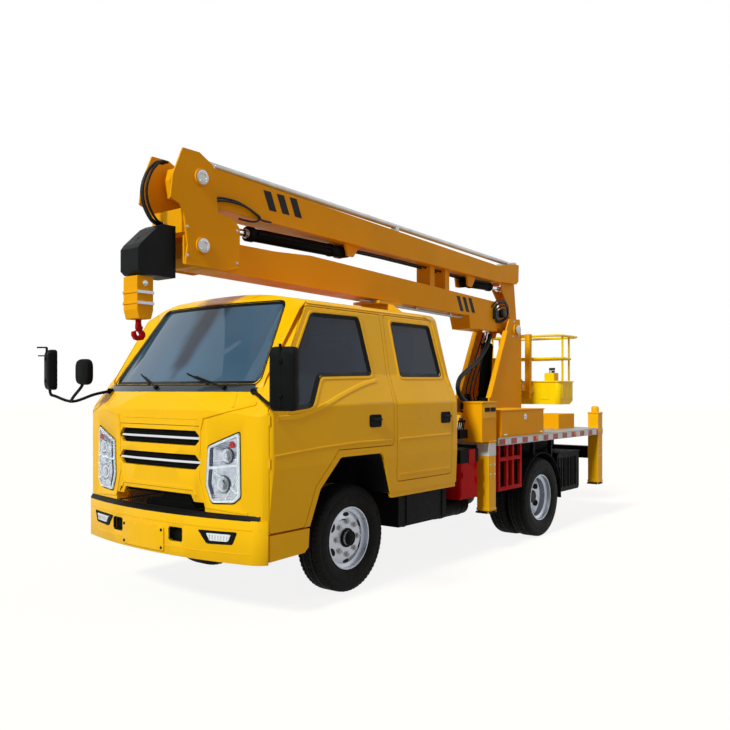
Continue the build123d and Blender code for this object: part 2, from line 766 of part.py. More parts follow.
def dashboard():
    """The dashboard across the cab on its two feet."""
    floor = CAB_FLOOR_Z + CAB_WALL + SEAT_GAP
    leg = outline([(760, floor), (860, floor), (860, 1012), (760, 1033)])
    leg = side_plate(leg, 560, 640)
    return [side_plate(dash_face(), -780, 780), leg, mirrored(leg)]


def steering_wheel():
    """The driver's wheel on its tilted column."""
    rim_r = 205
    section = [(-13, rim_r - 9), (0, rim_r - 15), (13, rim_r - 9), (13, rim_r + 9),
               (0, rim_r + 15), (-13, rim_r + 9)]
    ring = Rot(90, 0, 0) * spun(section, 20) + Cylinder(45, 30)
    for angle in (0, 120, 240):
        ring += Rot(0, 0, angle) * Pos(105, 0, 0) * Box(rim_r - 15, 24, 12)
    tilt = degrees(atan2(-150, 190))
    ring = Pos(598, SEAT_Y, 1455) * Rot(0, tilt, 0) * ring
    column = between((598, 1455), (760, 1250), 32, SEAT_Y)
    return ring + (column - side_plate(dash_face(SEAT_GAP), -800, 800))


def mirrors():
    """Both mirrors on their arms, and the round one on the right arm."""
    root = (925, 745, 1430)
    bend = (1085, 975, 1372)
    head_y = 1168
    foot = (1157, head_y - 22, 1335)
    arm = sweep_tube([root, bend, foot, (1157, head_y, 1390), (1157, head_y, 1706)], 11)
    head = block(1122, 1190, head_y - 90, head_y + 90, 1314, 1688)
    head = fillet(head.edges().filter_by(Axis.X), 26)
    left = arm + head
    body = both(left - cab_body(-SEAT_GAP))
    small = Pos(1150, -760, 1565) * Box(50, 170, 190)
    small = fillet(small.edges().filter_by(Axis.X), 50)
    stalk = sweep_tube([(1085, -975, 1372), (1150, -830, 1440), (1150, -760, 1500)], 11)
    return body + small + stalk


def sweep_tube(points, radius):
    """A faceted tube along a route, mitred at its bends."""
    route = Polyline(*points)
    ring = Plane(origin=route @ 0, z_dir=route % 0) * RegularPolygon(radius, TUBE_SIDES)
    return sweep(ring, path=route, transition=Transition.RIGHT)


# Deck

def bearer_places():
    """Where the bearers under the deck lie along the truck."""
    step = (DECK_FRONT_X - RAIL_REAR_X - 50) / 6
    return [RAIL_REAR_X + 25 + step * number for number in range(7)]


def deck():
    """The flat deck: plate, side rails and bearers."""
    plate = block(RAIL_REAR_X, DECK_FRONT_X, -DECK_HALF_W, DECK_HALF_W, DECK_Z - DECK_PLATE, DECK_Z)
    low = DECK_Z - DECK_RAIL_H
    edge = block(RAIL_REAR_X, DECK_FRONT_X, DECK_HALF_W - 40, DECK_HALF_W, low, DECK_Z - DECK_PLATE)
    body = plate + both(edge)
    for x in bearer_places():
        body += block(x - 25, x + 25, -DECK_HALF_W + 40, DECK_HALF_W - 40, low, DECK_Z - DECK_PLATE)
    body -= post(SLEW_X, 0, PEDESTAL_R, low - 10, DECK_Z + 10)
    half = OUTRIGGER_W / 2
    x = OUTRIGGER_X[1]
    y0 = OUTRIGGER_Y - half
    body -= both(block(x - half, x + half, y0, DECK_HALF_W + 10, low - 10, DECK_Z + 10))
    return body


def outrigger_frame(number):
    """A cross beam with its two upright leg housings, open at the foot."""
    x = OUTRIGGER_X[number]
    half = OUTRIGGER_W / 2
    z0 = OUTRIGGER_LOW_Z[number]
    z1 = OUTRIGGER_TOP_Z[number]
    y_in = OUTRIGGER_Y - half
    beam = block(x - half, x + half, -y_in, y_in, *CROSS_BEAM_Z)
    house = block(x - half, x + half, y_in, OUTRIGGER_Y + half, z0, z1)
    bore = half - OUTRIGGER_WALL
    house -= block(x - bore, x + bore, OUTRIGGER_Y - bore, OUTRIGGER_Y + bore,
                   z0, z1 - OUTRIGGER_WALL)
    return beam + both(house)


def outrigger_leg(number):
    """A left leg inside its housing with the foot plate under it."""
    x = OUTRIGGER_X[number]
    half = OUTRIGGER_W / 2 - OUTRIGGER_WALL - LEG_GAP
    z0 = OUTRIGGER_LOW_Z[number]
    foot_z = z0 - FOOT_T - FOOT_GAP
    leg = block(x - half, x + half, OUTRIGGER_Y - half, OUTRIGGER_Y + half, foot_z, z0 + 500)
    foot = block(x - 70, x + 70, OUTRIGGER_Y - 70, OUTRIGGER_Y + 60, foot_z, foot_z + FOOT_T)
    return leg + foot


def tool_boxes():
    """The long boxes on both sides of the deck."""
    return both(block(-2750, -1890, 560, DECK_HALF_W, DECK_Z + SEAT_GAP, BOX_TOP_Z))


def deck_box():
    """The low box at the rear of the deck."""
    return block(-4050, -3640, 420, 700, DECK_Z + SEAT_GAP, DECK_Z + 160)


def valve_box():
    """The control cabinet over the front left outrigger."""
    x = OUTRIGGER_X[0]
    top = OUTRIGGER_TOP_Z[0]
    return block(x - 70, x + 180, 765, OUTRIGGER_Y + 60, top + SEAT_GAP, 1330)


def side_lockers():
    """The lockers between cab and outriggers, hung from the subframe."""
    box = block(-1560, -1270, 620, 905, 520, 930)
    arm = block(-1450, -1380, RAIL_OUT + SEAT_GAP, 620, 720, 780)
    return both(box + arm)


def side_guards():
    """The ladder-like guards ahead of the rear wheels."""
    x0, x1 = -2330, -1885
    z0, z1 = 530, 925
    y0, y1 = 900, 930
    bar = 34
    body = block(x0, x1, y0, y1, z0, z0 + bar) + block(x0, x1, y0, y1, z1 - 130, z1 - 130 + bar)
    for x in (x0, x0 + 150, x1 - 150 - bar, x1 - bar):
        body += block(x, x + bar, y0, y1, z0, DECK_Z - DECK_RAIL_H - SEAT_GAP)
    return both(body)


def mudguards():
    """Half-round guards over the rear twins, hung from the deck."""
    inner_y = REAR_OUTER_Y - TYRE_W - TWIN_GAP - TYRE_W / 2
    outer_y = REAR_OUTER_Y + TYRE_W / 2
    big = TYRE_R + 62
    small = TYRE_R + 56
    disc = Circle(big) - Circle(small)
    disc &= Pos(0, big / 2 + 150) * Rectangle(2 * big, big)
    guard = side_plate(Pos(-WHEELBASE, TYRE_R) * disc, inner_y, outer_y)
    low = DECK_Z - DECK_RAIL_H
    for x in bearer_places():
        reach = abs(x + WHEELBASE)
        if reach < big - 60:
            height = TYRE_R + sqrt(small * small - reach * reach)
            guard += block(x - 12, x + 12, outer_y - 60, outer_y - 20, height, low - SEAT_GAP)
    return both(guard)


def tanks():
    """Fuel tank on the right, battery box on the left, and the tanks behind the rear wheels."""
    fuel = block(-1150, -460, -850, -430, 390, 655)
    fuel = fillet(fuel.edges().filter_by(Axis.X), 50)
    fuel += block(-900, -840, -430, -RAIL_OUT - SEAT_GAP, 540, 600)
    battery = block(-1150, -480, 470, 850, 395, 640)
    battery += block(-900, -840, RAIL_OUT + SEAT_GAP, 470, 540, 600)
    return fuel + battery


def rear_tanks():
    """The ribbed tanks behind the rear wheels."""
    body = block(-3830, -3275, 470, 850, 370, 770)
    body = fillet(body.edges().filter_by(Axis.Y), 40)
    for x in (-3700, -3610, -3520, -3430):
        body -= block(x - 12, x + 12, 838, 860, 420, 720)
    body += block(-3600, -3520, RAIL_OUT + SEAT_GAP, 470, 540, 620)
    return both(body)


def boom_rest():
    """The frame behind the cab whose padded head carries the stowed boom."""
    head_z = boom_low_z(-1330) - 9
    x0, x1 = -1370, -1290
    body = None
    y = RAIL_OUT - RAIL_W / 2
    leg = block(x0, x1, y - 30, y + 30, DECK_Z - DECK_RAIL_H + SEAT_GAP, 2050)
    body = both(leg)
    face = outline([(y + 30, 2050), (y - 30, 1990), (-y + 30, 1990), (-y - 30, 2050),
                    (-150, head_z - 25), (150, head_z - 25)])
    body += front_plate(face, x0, x1)
    body += block(x0 - 140, x1 + 125, -150, 150, head_z - 25, head_z)
    return body


def pedestal():
    """The fixed drum and ring under the turret."""
    low = DECK_Z - DECK_RAIL_H + SEAT_GAP
    return post(SLEW_X, 0, PEDESTAL_R - SEAT_GAP, low, RING_Z) + post(
        SLEW_X, 0, RING_R, RING_Z - 30, RING_Z)


def turret():
    """The slewing turret: ring, floor, two raked cheeks with flanged front edges, a back web."""
    z = RING_Z + SHAFT_GAP
    floor = z + RING_H
    body = post(SLEW_X, 0, RING_R - 15, z, floor)
    base = block(-3740, -2985, -TURRET_HALF_W - 20, TURRET_HALF_W + 20, floor, floor + TURRET_BASE_T)
    body += base
    cheek = [
        (-3740, floor), (-2985, floor), (-3010, 1350), (-3384, 2085), (-3455, 2215),
        (-3700, 2225), (-3740, 2000),
    ]
    y0 = TURRET_HALF_W - TURRET_PLATE
    plate = side_plate(outline(cheek), y0, TURRET_HALF_W)
    flange = [(-3010, 1350), (-3384, 2085), (-3400, 2077), (-3026, 1342)]
    plate += side_plate(outline(flange), y0 - 26, TURRET_HALF_W + 16)
    boss = cross_pin(LIFT_PIN, 62, y0 - 12, TURRET_HALF_W + 14)
    body += both(plate + boss)
    body += block(-3740, -3724, -y0, y0, floor, 1800)
    pin = cross_pin(LIFT_PIN, PIN_R, -TURRET_HALF_W - 26, TURRET_HALF_W + 26)
    ear = outline([(LIFT_FOOT[0] - 90, floor), (LIFT_FOOT[0] + 90, floor),
                   (LIFT_FOOT[0] + 45, LIFT_FOOT[1] + 45), (LIFT_FOOT[0] - 45, LIFT_FOOT[1] + 45)])
    body += both(side_plate(ear, 62, 82))
    return body + pin + cross_pin(LIFT_FOOT, RAM_PIN_R, -64, 64)


def boom_low_z(x):
    """Height of the lower boom's underside at a place along it."""
    front_z = 2272
    rear_z = 2206
    share = (LOWER_FRONT - x) / (LOWER_FRONT + 2760)
    return front_z + (rear_z - front_z) * share


def lower_boom():
    """The tapered lower boom with its deep heel and the arms to the lift pin."""
    top_front = 2520
    top_mid = 2470
    heel_x = -3330
    heel_low = 2075
    face = outline([
        (LOWER_FRONT - 150, boom_low_z(LOWER_FRONT - 150)), (-2740, boom_low_z(-2740)),
        (-2790, heel_low), (heel_x, heel_low), (heel_x, 2395),
        (-1500, top_mid - 10), (-300, 2502), (100, 2480), (LOWER_FRONT - 150, 2480),
    ])
    body = side_plate(face, -BOOM_HALF_W, BOOM_HALF_W)
    nose = outline([(LOWER_FRONT - 151, boom_low_z(LOWER_FRONT)), (LOWER_FRONT - 151, 2480),
                    (KNUCKLE_LOW_PIN[0] + 60, 2480), (KNUCKLE_LOW_PIN[0] + 75, 2440),
                    (KNUCKLE_LOW_PIN[0] + 75, 2330), (KNUCKLE_LOW_PIN[0] + 30, 2272)])
    body += side_plate(nose, -BOOM_HALF_W, BOOM_HALF_W)
    px, pz = LIFT_PIN
    arm = outline([(heel_x + 40, heel_low + 60), (heel_x + 40, 2300), (px + 40, pz + 100),
                   (px - 60, pz + 80), (px - 100, pz), (px - 60, pz - 80), (px + 60, pz - 95)])
    body += side_plate(arm, 84, BOOM_HALF_W) + side_plate(arm, -BOOM_HALF_W, -84)
    slot = block(LIFT_EYE[0] - 120, LIFT_EYE[0] + 220, -62, 62, heel_low - 10, LIFT_EYE[1] + 110)
    body -= slot
    body -= cross_pin(LIFT_PIN, PIN_R + SHAFT_GAP, -200, 200)
    body -= cross_pin(KNUCKLE_LOW_PIN, PIN_R + SHAFT_GAP, -200, 200)
    return body


def knuckle():
    """The head that joins both booms: tall cheeks, their pins, the front web and winch seat."""
    cheek = [
        (500, 2300), (640, 2262), (985, 2268), (965, 2400), (995, 2600), (1030, 2662),
        (1108, 2690), (1085, 2850), (1005, 3038), (865, 3038), (745, 2975), (700, 2660),
        (560, 2640), (500, 2580),
    ]
    y0 = KNUCKLE_Y - KNUCKLE_PLATE
    body = both(side_plate(outline(cheek), y0, KNUCKLE_Y))
    for place in (KNUCKLE_LOW_PIN, KNUCKLE_PIN):
        body += cross_pin(place, PIN_R, -y0, y0)
        body += both(cross_pin(place, 58, KNUCKLE_Y, KNUCKLE_Y + 12))
    body += block(978, WINCH_FRONT_X - 295 - SEAT_GAP, -y0, y0, 2480, 2640)
    body += both(cross_pin(UPPER_FOOT, 36, 50, y0))
    return body


def winch():
    """The winch under its sloping cover, on the front of the head."""
    front = WINCH_FRONT_X
    face = outline([
        (front - 295, 2180), (front - 30, 2180), (front, 2205), (front, 2345),
        (front - 25, 2380), (front - 150, 2500), (front - 195, 2525), (front - 295, 2525),
    ])
    body = side_plate(face, -WINCH_HALF_W, WINCH_HALF_W)
    return body - post(HOOK_X, 0, ROPE_R + SHAFT_GAP, 2170, 2430)


def hook_block():
    """The sheave block that hangs from the winch rope."""
    z0, z1 = 1895, HOOK_TOP_Z
    face = outline([(-45, z0), (45, z0), (62, z0 + 60), (62, z1), (-62, z1), (-62, z0 + 60)], 10)
    face = Pos(HOOK_X, 0) * face
    body = side_plate(face, -74, 74)
    for z in (z0 + 95, z0 + 165):
        body += block(HOOK_X - 67, HOOK_X + 67, -79, 79, z, z + 14)
    rope = post(HOOK_X, 0, ROPE_R, z1 - 5, 2410)
    return body + rope


def hook():
    """The red hook under its block: a flat forging with a chamfered neck."""
    top = 1895 - SEAT_GAP
    low = HOOK_LOW_Z
    claw = [
        (-16, top - 30), (-16, top - 62), (-44, low + 52), (-46, low + 28), (-28, low + 6),
        (0, low), (28, low + 6), (46, low + 30), (46, low + 56), (26, low + 62),
        (24, low + 40), (12, low + 30), (-8, low + 30), (-14, low + 44), (16, top - 60),
        (16, top - 30),
    ]
    body = side_plate(Pos(HOOK_X, 0) * outline(claw), -14, 14)
    return body + post(HOOK_X, 0, 19, top - 34, top)


def upper_top_z(x):
    """Height of the upper boom's top at a place along it."""
    share = (UPPER_FRONT - x) / (UPPER_FRONT - UPPER_REAR)
    return 2985 - share * 190


def upper_low_z(x):
    """Height of the upper boom's underside at a place along it."""
    share = (UPPER_FRONT - x) / (UPPER_FRONT - UPPER_REAR)
    return 2705 - share * 85


def upper_boom():
    """The tapered upper boom with its nose on the head pin and the fork for the jib."""
    nose = UPPER_FRONT
    face = outline([
        (nose - 130, upper_low_z(nose - 130)), (UPPER_REAR, upper_low_z(UPPER_REAR)),
        (UPPER_REAR, upper_top_z(UPPER_REAR)), (nose - 130, upper_top_z(nose - 130)),
        (nose, 2960), (nose + 20, 2880), (nose, 2760),
    ])
    body = side_plate(face, -BOOM_HALF_W, BOOM_HALF_W)
    jx, jz = JIB_PIN
    cheek = outline([(UPPER_REAR + 120, upper_low_z(UPPER_REAR)), (UPPER_REAR + 120, 2790),
                     (jx + 30, jz + 150), (jx - 90, jz + 150), (jx - 80, jz - 40),
                     (jx - 30, jz - 75), (jx + 60, jz - 75)])
    fork = side_plate(cheek, JIB_HALF_W + 8, BOOM_HALF_W - 8)
    body += both(fork)
    body += cross_pin(JIB_PIN, PIN_R, -JIB_HALF_W - 20, JIB_HALF_W + 20)
    for place, reach in ((UPPER_EYE, 80), (JIB_FOOT, 70)):
        x, z = place
        low = upper_low_z(x)
        ear = outline([(x - reach - 60, low + 20), (x + reach, low + 20), (x + 40, z - 40),
                       (x - 40, z - 40)])
        body += both(side_plate(ear, 60, 80)) + cross_pin(place, RAM_PIN_R, -62, 62)
    for x in (-2110, -2380):
        body += block(x - 40, x + 40, -80, 80, lower_rest_z(x) + 8, upper_low_z(x) + 20)
    return body - cross_pin(KNUCKLE_PIN, PIN_R + SHAFT_GAP, -200, 200)


def lower_rest_z(x):
    """Height of the lower boom's top at a place behind its middle."""
    share = (-1500 - x) / (3330 - 1500)
    return 2460 - share * 65


def boom_rail():
    """The grey tube along the top of the upper boom, with its brackets."""
    start = (770, 3038)
    end = (-3790, 2885)
    tube = between(start, end, 24)
    body = tube
    for share in (0.03, 0.52):
        x = start[0] + (end[0] - start[0]) * share
        z = start[1] + (end[1] - start[1]) * share
        body += block(x - 25, x + 25, -30, 30, upper_top_z(x + 25) + SEAT_GAP, z)
    x = JIB_PIN[0]
    side = BOOM_HALF_W - 8
    body += block(x - 25, x + 25, -side, side, JIB_PIN[1] + 150 + SEAT_GAP, end[1])
    return body


def cylinder(foot, eye, barrel_share, barrel_r, rod_r):
    """A ram between two pins: its barrel from the foot and its rod up to the eye."""
    length = hypot(eye[0] - foot[0], eye[1] - foot[1])
    barrel = between(foot, eye, barrel_r, 0, 40 / length, barrel_share)
    barrel += cross_pin(foot, 45, 8 - barrel_r, barrel_r - 8)
    barrel -= between(foot, eye, rod_r + SHAFT_GAP, 0, 0.14, 1.0)
    barrel -= cross_pin(foot, RAM_PIN_R + SHAFT_GAP, -barrel_r, barrel_r)
    rod = between(foot, eye, rod_r, 0, 0.16, 1 - 20 / length)
    rod += cross_pin(eye, 40, -45, 45)
    return barrel, rod


def jib():
    """The short arm that hangs from the upper boom and carries the basket."""
    jx, jz = JIB_PIN
    ex, ez = JIB_EYE
    bx, bz = JIB_END
    arm = outline([
        (jx + 60, jz + 40), (jx - 55, jz + 40), (jx - 70, jz - 60), (bx - 50, bz + 60),
        (bx - 30, bz - 45), (bx + 30, bz - 45), (bx + 55, bz + 60), (jx + 62, jz - 330),
        (ex + 50, ez - 30), (ex + 40, ez + 45),
    ])
    body = side_plate(arm, -JIB_HALF_W, JIB_HALF_W)
    body -= block(jx + 70, ex + 200, -50, 50, ez - 300, ez + 200)
    body -= cross_pin(JIB_PIN, PIN_R + SHAFT_GAP, -100, 100)
    reach = BEAM_Y - 30 + 18
    return body + cross_pin(JIB_END, PIN_R, -reach, reach)


def level_crank():
    """The levelling plates between the end of the jib and the basket frame."""
    plate = cross_pin(JIB_END, CRANK_R, JIB_HALF_W + 4, JIB_HALF_W + 24)
    plate -= cross_pin(JIB_END, PIN_R + SHAFT_GAP, 0, 200)
    return both(plate)


def basket_frame():
    """The two uprights that carry the basket and their lugs on the jib pin."""
    bx, bz = JIB_END
    half = 30
    upright = block(BEAM_X - half, BEAM_X + half, BEAM_Y - half, BEAM_Y + half, 1330, 2085)
    lug = outline([(BEAM_X, bz - 60), (bx + 20, bz - 45), (bx + 45, bz), (bx + 20, bz + 45),
                   (BEAM_X, bz + 60)])
    upright += side_plate(lug, BEAM_Y - half, BEAM_Y - half + 20)
    upright -= cross_pin(JIB_END, PIN_R + SHAFT_GAP, 0, 300)
    body = both(upright)
    for z in (1345, 2040):
        body += block(BEAM_X - 25, BEAM_X + 25, -BEAM_Y, BEAM_Y, z, z + 40)
    return body


def basket():
    """The open tub of the basket, its lower rear edge curved up."""
    x0, x1 = BASKET_REAR_X, BASKET_FRONT_X
    side = outline([(x1, BASKET_LOW_Z), (x0 + 130, BASKET_LOW_Z), (x0 + 40, BASKET_LOW_Z + 45),
                    (x0, BASKET_LOW_Z + 130), (x0, BASKET_RIM_Z), (x1, BASKET_RIM_Z)])
    plan = make_face(Polyline((x0, -BASKET_HALF_W), (x1, -BASKET_HALF_W), (x1, BASKET_HALF_W),
                              (x0, BASKET_HALF_W), close=True))
    plan = fillet(plan.vertices(), 60)
    body = side_plate(side, -BASKET_HALF_W, BASKET_HALF_W) & flat_plate(plan, 1000, 2200)
    side_in = offset(side, -BASKET_WALL, kind=Kind.INTERSECTION)
    plan_in = offset(plan, -BASKET_WALL, kind=Kind.INTERSECTION)
    room = side_plate(side_in, -BASKET_HALF_W, BASKET_HALF_W)
    room += block(x0 + BASKET_WALL, x1 - BASKET_WALL, -BASKET_HALF_W, BASKET_HALF_W,
                  BASKET_RIM_Z - 20, BASKET_RIM_Z + 20)
    room &= flat_plate(plan_in, 1000, 2200)
    body -= room
    bracket = block(x1, BEAM_X - 30, BEAM_Y - 30, BEAM_Y + 30, 1400, 1480)
    return body + both(bracket)


def rail_loop(z, front_x, rear_x, half_w):
    """A closed tube loop at one height with cut corners."""
    cut = 60
    middle = (front_x + rear_x) / 2
    points = [
        (middle, -half_w), (front_x - cut, -half_w), (front_x, -half_w + cut),
        (front_x, half_w - cut), (front_x - cut, half_w), (rear_x + cut, half_w),
        (rear_x, half_w - cut), (rear_x, -half_w + cut), (rear_x + cut, -half_w),
        (middle, -half_w),
    ]
    loop = sweep_tube([(x, y, z) for x, y in points], RAIL_TUBE_R)
    return loop


def basket_rails():
    """The guard rails: two loops and their posts on the rim of the tub."""
    front = BASKET_FRONT_X - 30
    thin = RAIL_TUBE_R - 3
    half = BASKET_HALF_W - BASKET_WALL - thin - SEAT_GAP
    body = rail_loop(RAIL_TOP_Z, front, BASKET_RAIL_REAR_X, half)
    body += rail_loop(1800, front, BASKET_REAR_X + 20, half)
    for y in (-half, half):
        for x in (front - 90, BASKET_REAR_X + 110):
            body += post(x, y, thin, BASKET_RIM_Z - 60, RAIL_TOP_Z)
    return body


def control_box():
    """The control box on the front of the basket."""
    return block(BASKET_FRONT_X - 120, BASKET_FRONT_X, 290, 410, BASKET_RIM_Z + SEAT_GAP,
                 BASKET_RIM_Z + 100)


def build_nodes():
    """Every sub-part by its name, still placed from the front axle."""
    nodes = {}
    tyre_f, rim_f = front_wheel()
    tyres_r, rims_r = rear_wheels()
    for side in ("left", "right"):
        flip = mirrored if side == "right" else (lambda shape: shape)
        nodes[f"front_{side}_tyre"] = flip(tyre_f)
        nodes[f"front_{side}_rim"] = flip(rim_f)
        nodes[f"rear_{side}_tyres"] = flip(tyres_r)
        nodes[f"rear_{side}_rims"] = flip(rims_r)
        nodes[f"knuckle_{side}"] = flip(knuckle_left())
        nodes[f"front_{side}_door"] = flip(door(front_door_face, front_window_face))
        nodes[f"front_{side}_glass"] = flip(door_glass(front_window_face))
        nodes[f"rear_{side}_door"] = flip(door(rear_door_face, rear_window_face))
        nodes[f"rear_{side}_glass"] = flip(door_glass(rear_window_face))
        for number, end in enumerate(("front", "rear")):
            nodes[f"{end}_{side}_leg"] = flip(outrigger_leg(number))
    nodes["running_gear"] = front_axle() + rear_axle() + leaf_springs()
    nodes["chassis_frame"] = chassis_frame()
    nodes["driveline"] = engine() + propeller_shaft()
    nodes["subframe"] = subframe() + pedestal()
    nodes["outrigger_frames"] = outrigger_frame(0) + outrigger_frame(1)
    nodes["cab_shell"] = cab_shell()
    screen, back = fixed_glass()
    nodes["fixed_glass"] = screen + back
    nodes["grille"] = grille()
    nodes["grille_strips"] = grille_strips()
    nodes["headlamps"] = headlamps()
    nodes["bumper"] = bumper() + valances()
    nodes["cab_interior"] = Compound(seats() + dashboard() + steering_wheel().solids())
    nodes["mirrors"] = mirrors()
    nodes["deck"] = deck()
    nodes["deck_boxes"] = tool_boxes() + deck_box() + valve_box()
    nodes["side_panels"] = side_lockers() + side_guards()
    nodes["mudguards"] = mudguards()
    nodes["tanks"] = tanks() + rear_tanks()
    nodes["boom_rest"] = boom_rest()
    nodes["turret"] = turret()
    nodes["lower_boom"] = lower_boom()
    nodes["boom_head"] = knuckle()
    nodes["winch"] = winch()
    nodes["hook_block"] = hook_block()
    nodes["hook"] = hook()
    nodes["upper_boom"] = upper_boom()
    nodes["boom_rail"] = boom_rail()
    nodes["jib"] = jib()
    nodes["level_crank"] = level_crank()
    nodes["basket_frame"] = basket_frame()
    nodes["basket"] = basket()
    nodes["basket_rails"] = basket_rails() + control_box()
    nodes["lift_barrel"], nodes["lift_rod"] = cylinder(LIFT_FOOT, LIFT_EYE, 0.80, 58, 30)
    nodes["upper_barrel"], nodes["upper_rod"] = cylinder(UPPER_EYE, UPPER_FOOT, 0.80, 50, 28)
    nodes["jib_barrel"], nodes["jib_rod"] = cylinder(JIB_FOOT, JIB_EYE, 0.72, 40, 22)
    return nodes


os.makedirs("parts", exist_ok=True)
for name, shape in build_nodes().items():
    solids = shape.solids()
    body = solids[0] if len(solids) == 1 else Compound(solids)
    export_step(Pos(-MID_X, 0, 0) * body, f"parts/{name}.step")
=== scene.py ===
import json
from math import cos, pi, radians, sin

import bmesh
import bpy
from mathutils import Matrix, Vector
from mathutils.bvhtree import BVHTree


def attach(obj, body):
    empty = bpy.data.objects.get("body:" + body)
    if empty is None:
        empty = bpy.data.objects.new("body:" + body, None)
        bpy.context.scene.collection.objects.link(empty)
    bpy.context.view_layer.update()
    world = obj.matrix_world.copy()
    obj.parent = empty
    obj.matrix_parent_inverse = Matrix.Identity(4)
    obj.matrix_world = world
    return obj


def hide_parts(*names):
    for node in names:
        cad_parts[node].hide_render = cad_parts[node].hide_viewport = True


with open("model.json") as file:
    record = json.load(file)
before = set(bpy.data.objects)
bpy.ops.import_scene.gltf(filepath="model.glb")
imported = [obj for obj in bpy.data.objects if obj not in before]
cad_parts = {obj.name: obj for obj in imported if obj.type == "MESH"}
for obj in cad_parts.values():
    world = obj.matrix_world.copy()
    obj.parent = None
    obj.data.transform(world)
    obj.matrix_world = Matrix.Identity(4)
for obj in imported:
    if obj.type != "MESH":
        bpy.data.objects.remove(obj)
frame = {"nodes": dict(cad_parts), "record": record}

# Pieces are drawn in millimetres from the front axle, with X forward, Y to the truck's left
# and Z up from the ground, as the CAD source does. SHIFT_X moves them to the row frame.
SHIFT_X = 1715.0
MM = 0.001
SIGNS = (1, -1)
SIDES = (("left", 1), ("right", -1))
UP = (0, 0, 1)
AHEAD = (1, 0, 0)
BACK = (-1, 0, 0)
SMOOTH_ANGLE = radians(38)
WELD_GAP = 0.00002

CAMERA_AT = (6.048, 4.334, 1.440)
CAMERA_TURN = (radians(90), 0, radians(128.33))
CAMERA_LENS = 38.8
CAMERA_SHIFT_Y = 0.0333

TYRE_R = 380
WHEELBASE = 2800
BOOM_HALF_W = 120
HEAD_PIN_Y = 184
HEAD_PLATE_Y = 172
FRONT_LEG_X = -1740
REAR_LEG_X = -4180
LEG_Y = 890
DECK_SIDE_Y = 950
LOCKER_Y = 905
FRONT_FLOOR = 1030
REAR_FLOOR = 730

nodes = frame["nodes"]
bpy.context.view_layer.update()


def place(point):
    """A drawn point in millimetres as a point of the row frame in metres."""
    return Vector(((point[0] + SHIFT_X) * MM, point[1] * MM, point[2] * MM))


def in_scene(name, data):
    """An object with its data, linked to the scene."""
    thing = bpy.data.objects.new(name, data)
    bpy.context.scene.collection.objects.link(thing)
    return thing


# Materials

ROAD_DUST = (0.30, 0.25, 0.19, 1.0)
WHITE = (1.0, 1.0, 1.0, 1.0)
COAT_ROUGH = 0.12


def linear(colour):
    """A display colour, 0 to 255, as the linear colour that a shader takes."""
    shares = [value / 255 for value in colour]
    return (*[share / 12.92 if share <= 0.04045 else ((share + 0.055) / 1.055) ** 2.4
              for share in shares], 1.0)


def shade(colour, factor):
    """A colour made lighter or darker."""
    return (*[min(1.0, channel * factor) for channel in colour[:3]], 1.0)


def empty_tree(owner):
    """The node tree of a material or world, without its first nodes."""
    owner.use_nodes = True
    owner.node_tree.nodes.clear()
    return owner.node_tree


def wired(tree, kind, inputs, **settings):
    """A node with its settings made, and its inputs set or linked where they are sockets."""
    node = tree.nodes.new(kind)
    for name, setting in settings.items():
        setattr(node, name, setting)
    for key, value in inputs.items():
        if isinstance(value, bpy.types.NodeSocket):
            tree.links.new(value, node.inputs[key])
        else:
            node.inputs[key].default_value = value
    return node


def maths(tree, operation, first, second):
    """Two values joined by an operation."""
    return wired(tree, "ShaderNodeMath", {0: first, 1: second}, operation=operation).outputs[0]


def object_coords(tree):
    """The object's own coordinates, in metres."""
    return tree.nodes.new("ShaderNodeTexCoord").outputs["Object"]


def noise(tree, scale, detail=4.0, rough=0.55, stretch=None):
    """The factor of a noise over the object's own coordinates."""
    vector = object_coords(tree)
    if stretch:
        vector = wired(tree, "ShaderNodeMapping", {"Vector": vector, "Scale": stretch}).outputs[0]
    return wired(tree, "ShaderNodeTexNoise", {"Vector": vector, "Scale": scale, "Detail": detail,
                                              "Roughness": rough}).outputs["Fac"]


def ranged(tree, value, low, high, to_low=0, to_high=1):
    """A value brought from one range to another, without going past it."""
    return wired(tree, "ShaderNodeMapRange", {
        "Value": value, "From Min": low, "From Max": high, "To Min": to_low,
        "To Max": to_high}).outputs["Result"]


def mixed(tree, share, first, second):
    """Two colours mixed by a share."""
    return wired(tree, "ShaderNodeMix", {0: share, 6: first, 7: second},
                 data_type="RGBA").outputs[2]


def worn(tree, base, amount, colour):
    """A colour with another one showing in spots along the edges."""
    soft = wired(tree, "ShaderNodeBevel", {"Radius": 0.006}, samples=4).outputs[0]
    hard = tree.nodes.new("ShaderNodeNewGeometry").outputs["Normal"]
    turn = wired(tree, "ShaderNodeVectorMath", {0: soft, 1: hard}, operation="DOT_PRODUCT")
    edge = ranged(tree, turn.outputs["Value"], 0.97, 0.86)
    spots = ranged(tree, noise(tree, 38.0, 6.0), 0.48, 0.62, 0, amount)
    return mixed(tree, maths(tree, "MULTIPLY", edge, spots), base, colour)


def dusty(tree, base, amount, top, colour):
    """A colour with dust on it that fades out towards a height."""
    split = wired(tree, "ShaderNodeSeparateXYZ", {"Vector": object_coords(tree)})
    low = ranged(tree, split.outputs["Z"], 0.15, top, 1, 0)
    spots = ranged(tree, noise(tree, 7.0, 6.0, 0.65), 0.35, 0.75, 0.15)
    share = maths(tree, "MULTIPLY", maths(tree, "MULTIPLY", low, spots), amount)
    return mixed(tree, share, base, colour)


